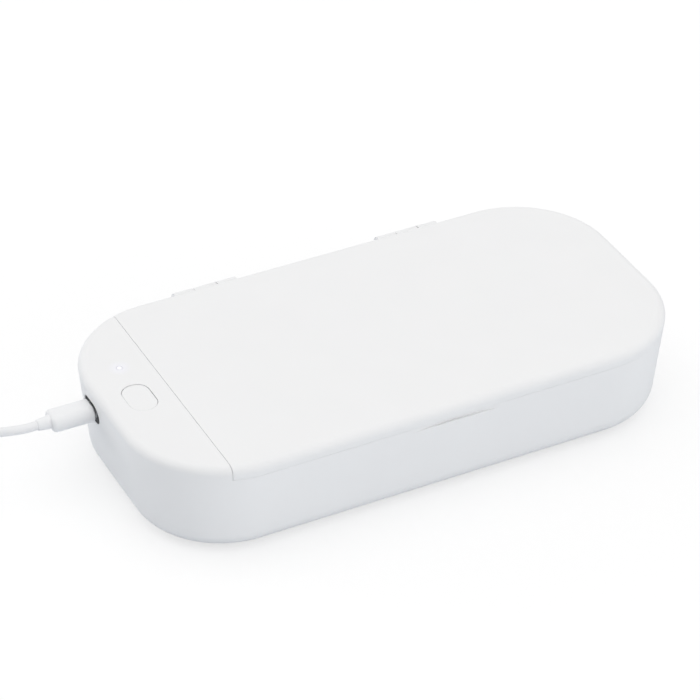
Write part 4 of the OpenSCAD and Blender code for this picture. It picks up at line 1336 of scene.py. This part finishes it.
@dataclass
class LidMoulding:
    """The lid's outer moulding: one skin that runs over the top, down the side, round the
    parting edge and back up inside, and the knuckles with their webs.  The flat top has a ring
    flat_margin inside its round, and its cap starts flat_in inside it.  Each roof step is how
    far a ring inside lies below the roof, in from the wall and in from the seam's end."""

    form: CaseForm
    edge: float = 0.05
    edge_points: int = 5
    seam_edge: float = 0.1
    flat_in: float = 8.0
    flat_margin: float = 0.8
    round_angles: tuple[float, ...] = (90, 84, 78, 72, 66, 58, 48, 36, 24, 12, 0)
    below_knee: float = 0.4
    roof_steps: tuple[Point, ...] = ((1.2, 0, 0), (0.35, 0.35, 0.1), (0, 1.4, 1.0), (0, 8.0, 8.0))
    knuckle_l: float = 9.4
    knuckle_edge: float = 0.35
    web_high: float = 2.52
    web_in: float = 1.2
    web_short: float = 0.02

    def outside(self) -> Array:
        """The outer side: the top round is a quarter turn and the wall's lean, and the edge
        at the seam falls away along a circle.

        Returns:
            A (3, n) array of insets, heights and distances from the seam's end.
        """
        form = self.form
        turn = np.radians([*self.round_angles, -math.degrees(form.tilt)])
        low = np.linspace(form.knee_z - self.below_knee, form.lid_low + self.edge, num=4)
        crest = [form.crest_in + self.flat_in, form.crest_in + self.flat_margin]
        inset = np.concatenate([crest, form.crest_in - form.top_r * np.cos(turn), form.wall_in(low)])
        z = np.concatenate([[form.top_z] * 2, form.knee_z + form.top_r * np.sin(turn), low])
        drop = np.clip(z - (form.top_z - self.seam_edge), 0, self.seam_edge)
        behind = self.seam_edge - np.sqrt(self.seam_edge**2 - drop**2)
        behind[:2] = self.flat_in, self.seam_edge + self.flat_margin
        return np.array([inset, z, behind])

    def parting_edge(self) -> Array:
        """The lid's lower edge: flat between two quarter rounds.

        Returns:
            The same three rows as outside().
        """
        form = self.form
        wall = form.lid_wall / math.cos(form.tilt)
        rise, inward = (offsets[1:] for offsets in quarter(self.edge, self.edge_points))
        inset = form.wall_in(form.lid_low) + np.concatenate([inward, wall - inward[::-1]])
        z = form.lid_low + np.concatenate([rise, rise[::-1]])
        return np.array([inset, z, np.concatenate([inward, form.lid_wall - inward[::-1]])])

    def inside(self) -> Array:
        """The inner side, from the lower edge to the roof's middle.

        Returns:
            The same three rows as outside().
        """
        form = self.form
        drop, inward, behind = np.array(self.roof_steps).T
        z = np.array([form.lid_low + self.edge, *(form.top_z - form.lid_wall - drop)])
        wall = form.wall_in(np.minimum(z, form.knee_z)) + form.lid_wall / math.cos(form.tilt)
        return np.array([wall + [0, *inward], z, form.lid_wall + np.array([0, *behind])])

    def skin(self) -> Skin:
        """The closed skin, from the top's middle to the roof's."""
        lines = np.concatenate([self.outside(), self.parting_edge(), self.inside()], axis=1)
        return Skin.loft(np.array([self.form.lid_ring(*line) for line in lines.T]))

    def knuckle(self, x: float) -> list[Skin]:
        """A disc along X with rounded rims, and the web from it to the lid's wall.

        Args:
            x: the middle of the disc.

        Returns:
            The disc and the web.
        """
        form, half = self.form, self.knuckle_l / 2
        edge = self.knuckle_edge
        pulls, place = rounded_bar(self.knuckle_l, edge, edge, count=5)
        profile = np.stack([form.knuckle_r - pulls, place - half], -1)
        disc = revolve(profile, (x, form.axis_y, form.axis_z), axis=Axis.X)
        wall_y = form.width / 2 - self.web_in
        low, high = form.lid_low, form.lid_low + self.web_high
        section = np.array([[wall_y, low], [form.axis_y, low], [form.axis_y, high], [wall_y, high]])
        ends = np.array([self.web_short - half, half - self.web_short])
        web = stand(np.stack([section, section]), ends, Axis.X, (x, 0, 0))
        return [Skin.loft(disc), Skin.loft(web)]

    def build(self) -> None:
        """Joins the skin and both hinges' pieces."""
        x = self.form.hinge_x
        skins = [self.skin(), *self.knuckle(-x), *self.knuckle(x)]
        piece = Build.moulding("lid_moulding", skins, sharp=38.0)
        Build.dress(piece, Body.LID, Slot.CASE, CASE, "lid_cover")


@dataclass
class ButtonCap:
    """The push button: a slightly dished top, a soft edge and a flange under the deck.  The
    shares are the places of the top's rings from its middle to its edge, least_corner is the
    smallest corner, and least_flat keeps a corner a little smaller than half the width."""

    x: float = -96.2
    width: float = 10.6
    length: float = 16.6
    corner: float = 5.05
    top_z: float = 40.86
    edge: float = 0.3
    dish: float = 0.16
    shares: tuple[float, ...] = (0.04, 0.2, 0.4, 0.6, 0.8, 0.92, 1.0)
    flange: float = 1.2
    flange_z: float = 38.65
    flange_h: float = 1.2
    wall: float = 1.4
    roof: float = 1.6
    stem_r: float = 2.2
    stem_low: float = 35.25
    stem_high: float = 40.2
    stem_chamfer: float = 0.2
    ring_points: int = 72
    least_corner: float = 0.05
    least_flat: float = 0.01

    def ring(self, pull: float) -> Array:
        """The button's outline drawn in by some millimetres.

        Args:
            pull: how far it is drawn in.

        Returns:
            A plane ring.
        """
        width, length = self.width - 2 * pull, self.length - 2 * pull
        corner = max(self.least_corner, min(self.corner - pull, width / 2 - self.least_flat))
        return oblong(width, length, corner, self.ring_points)

    def cap(self) -> Skin:
        """Rings of the outline: the dish is a parabola of the share from its middle, and below
        the flange the skin runs back up inside.

        Returns:
            The cap.
        """
        share = np.array(self.shares)
        half = self.width / 2 - self.edge
        pull, drop = (offsets[1:] for offsets in quarter(self.edge, count=7))
        under, roof = self.flange_z - self.flange_h, self.top_z - self.roof
        top = self.top_z - self.dish * (1 - share**2)
        below = [0, -self.flange, -self.flange, self.wall, self.wall, half]
        pulls = np.concatenate([self.edge + half * (1 - share), pull, below])
        low = [self.flange_z, self.flange_z, under, under, roof, roof]
        z = np.concatenate([top, self.top_z - drop, low])
        rings = np.array([self.ring(amount) for amount in pulls])
        return Skin.loft(stand(rings, z, Axis.Z, (self.x, 0, 0)))

    def build(self) -> None:
        """Joins the cap and the stem under it."""
        profile = pin_profile(self.stem_r, self.stem_low, self.stem_high, self.stem_chamfer)
        stem = Skin.loft(revolve(profile, (self.x, 0, 0), count=32))
        piece = Build.moulding("button_top", [self.cap(), stem], sharp=40.0)
        Build.dress(piece, Body.BUTTON, Slot.CASE, DECK_CAP, "button_cap")


@dataclass
class SoftParts:
    """The rubber feet, the ribs under the phone and the dots that the lid comes down on.  The
    sole's hollow has a depth, a ring of some width round it and a slope between the two, and
    rib_least is the share of its width and of its height that a rib keeps at its ends."""

    foot_spots: tuple[Spot, ...] = ((-75, -28.5), (-75, 28.5), (75, -28.5), (75, 28.5))
    foot_r: float = 5.0
    foot_top: float = 1.6
    foot_edge: float = 0.45
    foot_chamfer: float = 0.1
    sole_hollow: Point = (0.18, 1.8, 0.4)
    rib_xs: tuple[float, ...] = (-63.5, -13.5, 36.5, 86.5)
    rib_w: float = 3.0
    rib_l: float = 66.0
    rib_low: float = 9.5
    rib_h: float = 4.5
    rib_end: float = 2.2
    rib_chamfer: float = 0.15
    rib_least: Spot = (0.25, 0.35)
    rib_rings: int = 16
    rib_arch_points: int = 15
    peg_y: float = 27.0
    peg_r: float = 1.2
    peg_chamfer: float = 0.1
    peg_below: float = 1.5
    peg_above: float = 0.5
    buffer_xs: tuple[float, ...] = (-68.0, 66.0)
    buffer_y: float = 49.67
    buffer_r: float = 2.2
    buffer_low: float = 35.0
    buffer_top: float = 35.6
    buffer_edges: Spot = (0.05, 0.14)

    def feet(self) -> None:
        """Discs whose lower rim is rounded and whose sole is hollow inside a ring."""
        radius, top, chamfer = self.foot_r, self.foot_top, self.foot_chamfer
        pull, rise = quarter(self.foot_edge, count=6)
        depth, ring, slope = self.sole_hollow
        sole = [[POLE, depth], [radius - ring - slope, depth], [radius - ring, 0.0]]
        upper = [[radius, top - chamfer], [radius - chamfer, top], [POLE, top]]
        profile = np.concatenate([sole, np.stack([radius - pull, rise], -1), upper])
        skins = [Skin.loft(revolve(profile, (x, y, 0))) for x, y in self.foot_spots]
        piece = Build.moulding("feet_moulded", skins, sharp=45.0)
        Build.dress(piece, Body.BASE, Slot.SOFT, FOOT_RUBBER, "rubber_feet")

    def rib(self, x: float) -> Skin:
        """A bar with a half-round top: towards each end the section shrinks along an ellipse.

        Args:
            x: the middle of the bar.

        Returns:
            The bar.
        """
        half, side, cut = self.rib_l / 2, self.rib_w / 2, self.rib_chamfer
        shorter, inward = quarter(1.0, count=9)
        end_y = half - self.rib_end * inward
        middle = np.linspace(self.rib_end - half, half - self.rib_end, self.rib_rings)[1:-1]
        y = np.concatenate([-end_y, middle, end_y[::-1]])
        size = 1 - np.concatenate([shorter, np.zeros(len(middle)), shorter[::-1]])
        turn = np.linspace(0, np.pi, self.rib_arch_points)
        arch = np.stack([side * np.cos(turn), self.rib_h - side + side * np.sin(turn)], -1)
        base = [[-side, cut], [cut - side, 0], [side - cut, 0], [side, cut]]
        least = np.array(self.rib_least)
        shrink = least + (1 - least) * size[:, None]
        rings = np.concatenate([arch, base]) * shrink[:, None]
        return Skin.loft(stand(rings, y, Axis.Y, (x, 0, self.rib_low)))

    def ribs(self) -> None:
        """The ribs, each on two pegs in the tray's floor."""
        low, high = self.rib_low - self.peg_below, self.rib_low + self.peg_above
        profile = pin_profile(self.peg_r, low, high, self.peg_chamfer)
        skins = []
        for x in self.rib_xs:
            skins.append(self.rib(x))
            for y in (-self.peg_y, self.peg_y):
                skins.append(Skin.loft(revolve(profile, (x, y, 0), count=24)))
        piece = Build.moulding("ribs_moulded", skins)
        Build.dress(piece, Body.BASE, Slot.SOFT, RIB_SILICONE, "phone_ribs")

    def buffers(self) -> None:
        """Low discs whose edges are rounded, the upper one more."""
        radius, low, top = self.buffer_r, self.buffer_low, self.buffer_top
        pull, rise = quarter(self.buffer_edges[0], count=6)
        drop, inward = quarter(self.buffer_edges[1], count=6)
        lower = np.stack([radius - pull, low + rise], -1)
        upper = np.stack([radius - inward, top - drop], -1)
        profile = np.concatenate([[[POLE, low]], lower, upper, [[POLE, top]]])
        spots = [(x, y, 0) for x in self.buffer_xs for y in (-self.buffer_y, self.buffer_y)]
        skins = [Skin.loft(revolve(profile, spot, count=32)) for spot in spots]
        piece = Build.moulding("buffers_moulded", skins)
        Build.dress(piece, Body.BASE, Slot.SOFT, BUFFER_SILICONE, "lid_buffers")

    def build(self) -> None:
        """Makes the three pieces."""
        self.feet()
        self.ribs()
        self.buffers()


@dataclass
class ClearParts:
    """The domed windows over the lamps and the indicator's light pipe."""

    window_xs: tuple[float, ...] = (-38.5, 11.5, 61.5)
    window_ys: Spot = (-20.0, 20.0)
    lens_r: float = 3.5
    lip_r: float = 4.6
    lip_h: float = 0.7
    lip_chamfer: float = 0.1
    under_z: float = 8.0
    floor_z: float = 9.5
    rim: float = 0.05
    dome_h: float = 1.2
    dome_rings: int = 14
    pipe_r: float = 1.2
    pipe_low: float = 29.8
    pipe_top: float = 41.0
    pipe_edge: float = 0.15
    collar_r: float = 2.1
    collar_z: float = 38.8
    collar_h: float = 1.0

    def windows(self) -> None:
        """A lip, a plug and a dome: the dome's height falls along a circle to its rim."""
        ball = (self.lens_r**2 + self.dome_h**2) / (2 * self.dome_h)
        radius = self.lens_r * np.sin(np.linspace(np.pi / 2, 0, self.dome_rings))
        radius[-1] = POLE
        height = self.floor_z + self.dome_h - ball + np.sqrt(ball**2 - radius**2)
        low, high = self.under_z - self.lip_h, self.under_z
        lip = pin_profile(self.lip_r, low, high, self.lip_chamfer)[:-1]
        neck = [[self.lens_r, self.under_z], [self.lens_r, self.floor_z - self.rim]]
        profile = np.concatenate([lip, neck, np.stack([radius, height], -1)])
        spots = [(x, y, 0) for x in self.window_xs for y in self.window_ys]
        skins = [Skin.loft(revolve(profile, spot)) for spot in spots]
        piece = Build.moulding("windows_polished", skins, sharp=40.0)
        Build.dress(piece, Body.BASE, Slot.QUARTZ, QUARTZ, "lamp_windows")

    def pipe(self) -> None:
        """A rod with a collar, whose top edge is rounded."""
        radius, low, high = self.pipe_r, self.collar_z - self.collar_h, self.collar_z
        drop, pull = quarter(self.pipe_edge, count=5)
        rod = [[POLE, self.pipe_low], [radius, self.pipe_low], [radius, low]]
        collar = [[self.collar_r, low], [self.collar_r, high], [radius, high]]
        top = np.stack([radius - pull, self.pipe_top - drop], -1)
        profile = np.concatenate([rod, collar, top, [[POLE, self.pipe_top]]])
        skin = Skin.loft(revolve(profile, (*PIPE_AXIS, 0), count=40))
        piece = Build.moulding("light_pipe_rod", [skin], sharp=40.0)
        Build.dress(piece, Body.BASE, Slot.PIPE, PIPE, "light_pipe")

    def build(self) -> None:
        """Makes the windows and the light pipe."""
        self.windows()
        self.pipe()


# Carried-over CAD nodes


@dataclass
class CarriedNodes:
    """The CAD nodes, each with its finish; those that a piece replaces have it too."""

    groups: tuple[tuple[Finish, str], ...] = (
        (DECK_CASE_PAINTED_GLOW, "base_shell"),
        (CASE, "lid_cover"),
        (DECK_CAP, "button_cap"),
        (COVER, "bottom_cover"),
        (LINER, "lid_liner"),
        (LINING, "lid_reflector"),
        (TRAY_LINING, "chamber_tray"),
        (PLATED_SCREW, "cover_screws lamp_board_screws board_screws lid_screws"),
        (DRAWN_PIN, "hinge_pins"),
        (MAGNET_PLATE, "base_magnets lid_magnets"),
        (FOOT_RUBBER, "rubber_feet"),
        (RIB_SILICONE, "phone_ribs"),
        (BUFFER_SILICONE, "lid_buffers"),
        (BOARD, "lamp_board control_board"),
        (CERAMIC, "uv_lamps"),
        (CHIP, "board_parts lid_sensor tact_switch switch_plunger socket_tongue"),
        (QUARTZ, "lamp_windows"),
        (PIPE, "light_pipe"),
        (LED_BODY, "status_led"),
        (RING, "port_ring"),
        (PORT_STEEL, "usb_socket plug_shell far_plug_shell"),
        (WIRE, "lamp_lead"),
        (IVORY, "lead_connectors"),
        (PLUG_SKIN, "plug_grip plug_sleeve far_plug_grip"),
        (CORD_SKIN, "cord_run cord_coil"),
        (TIE_STRAP, "coil_tie"),
        (CORE, "far_plug_core"),
    )

    def dress(self) -> None:
        """Puts each node's finish into its only material place."""
        finishes = {name: finish for finish, names in self.groups for name in names.split()}
        for name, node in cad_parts.items():
            node.data.materials.clear()
            node.data.materials.append(finishes[name].material())
            LOG.info("%s is finished as %s", name, finishes[name].name)


def main() -> None:
    """Builds the scene: camera and cord first, then the studio and the pieces."""
    logging.basicConfig(level=logging.INFO, format="%(message)s")
    CameraRig().build()
    cord = Cord()
    line = cord.build()
    plugs = SmallPlug().build()
    plugs.append(FarPlug(tuple(cord.far_point)).build())
    plugs.append(CoilTie(cord).build())
    shells = ("plug_shell", "far_plug_shell", "far_plug_core")
    plugs += [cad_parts[name] for name in shells]
    Studio().build()
    LidMoulding(CaseForm()).build()
    ButtonCap().build()
    SoftParts().build()
    ClearParts().build()
    CarriedNodes().dress()


if __name__ == "__main__":
    main()
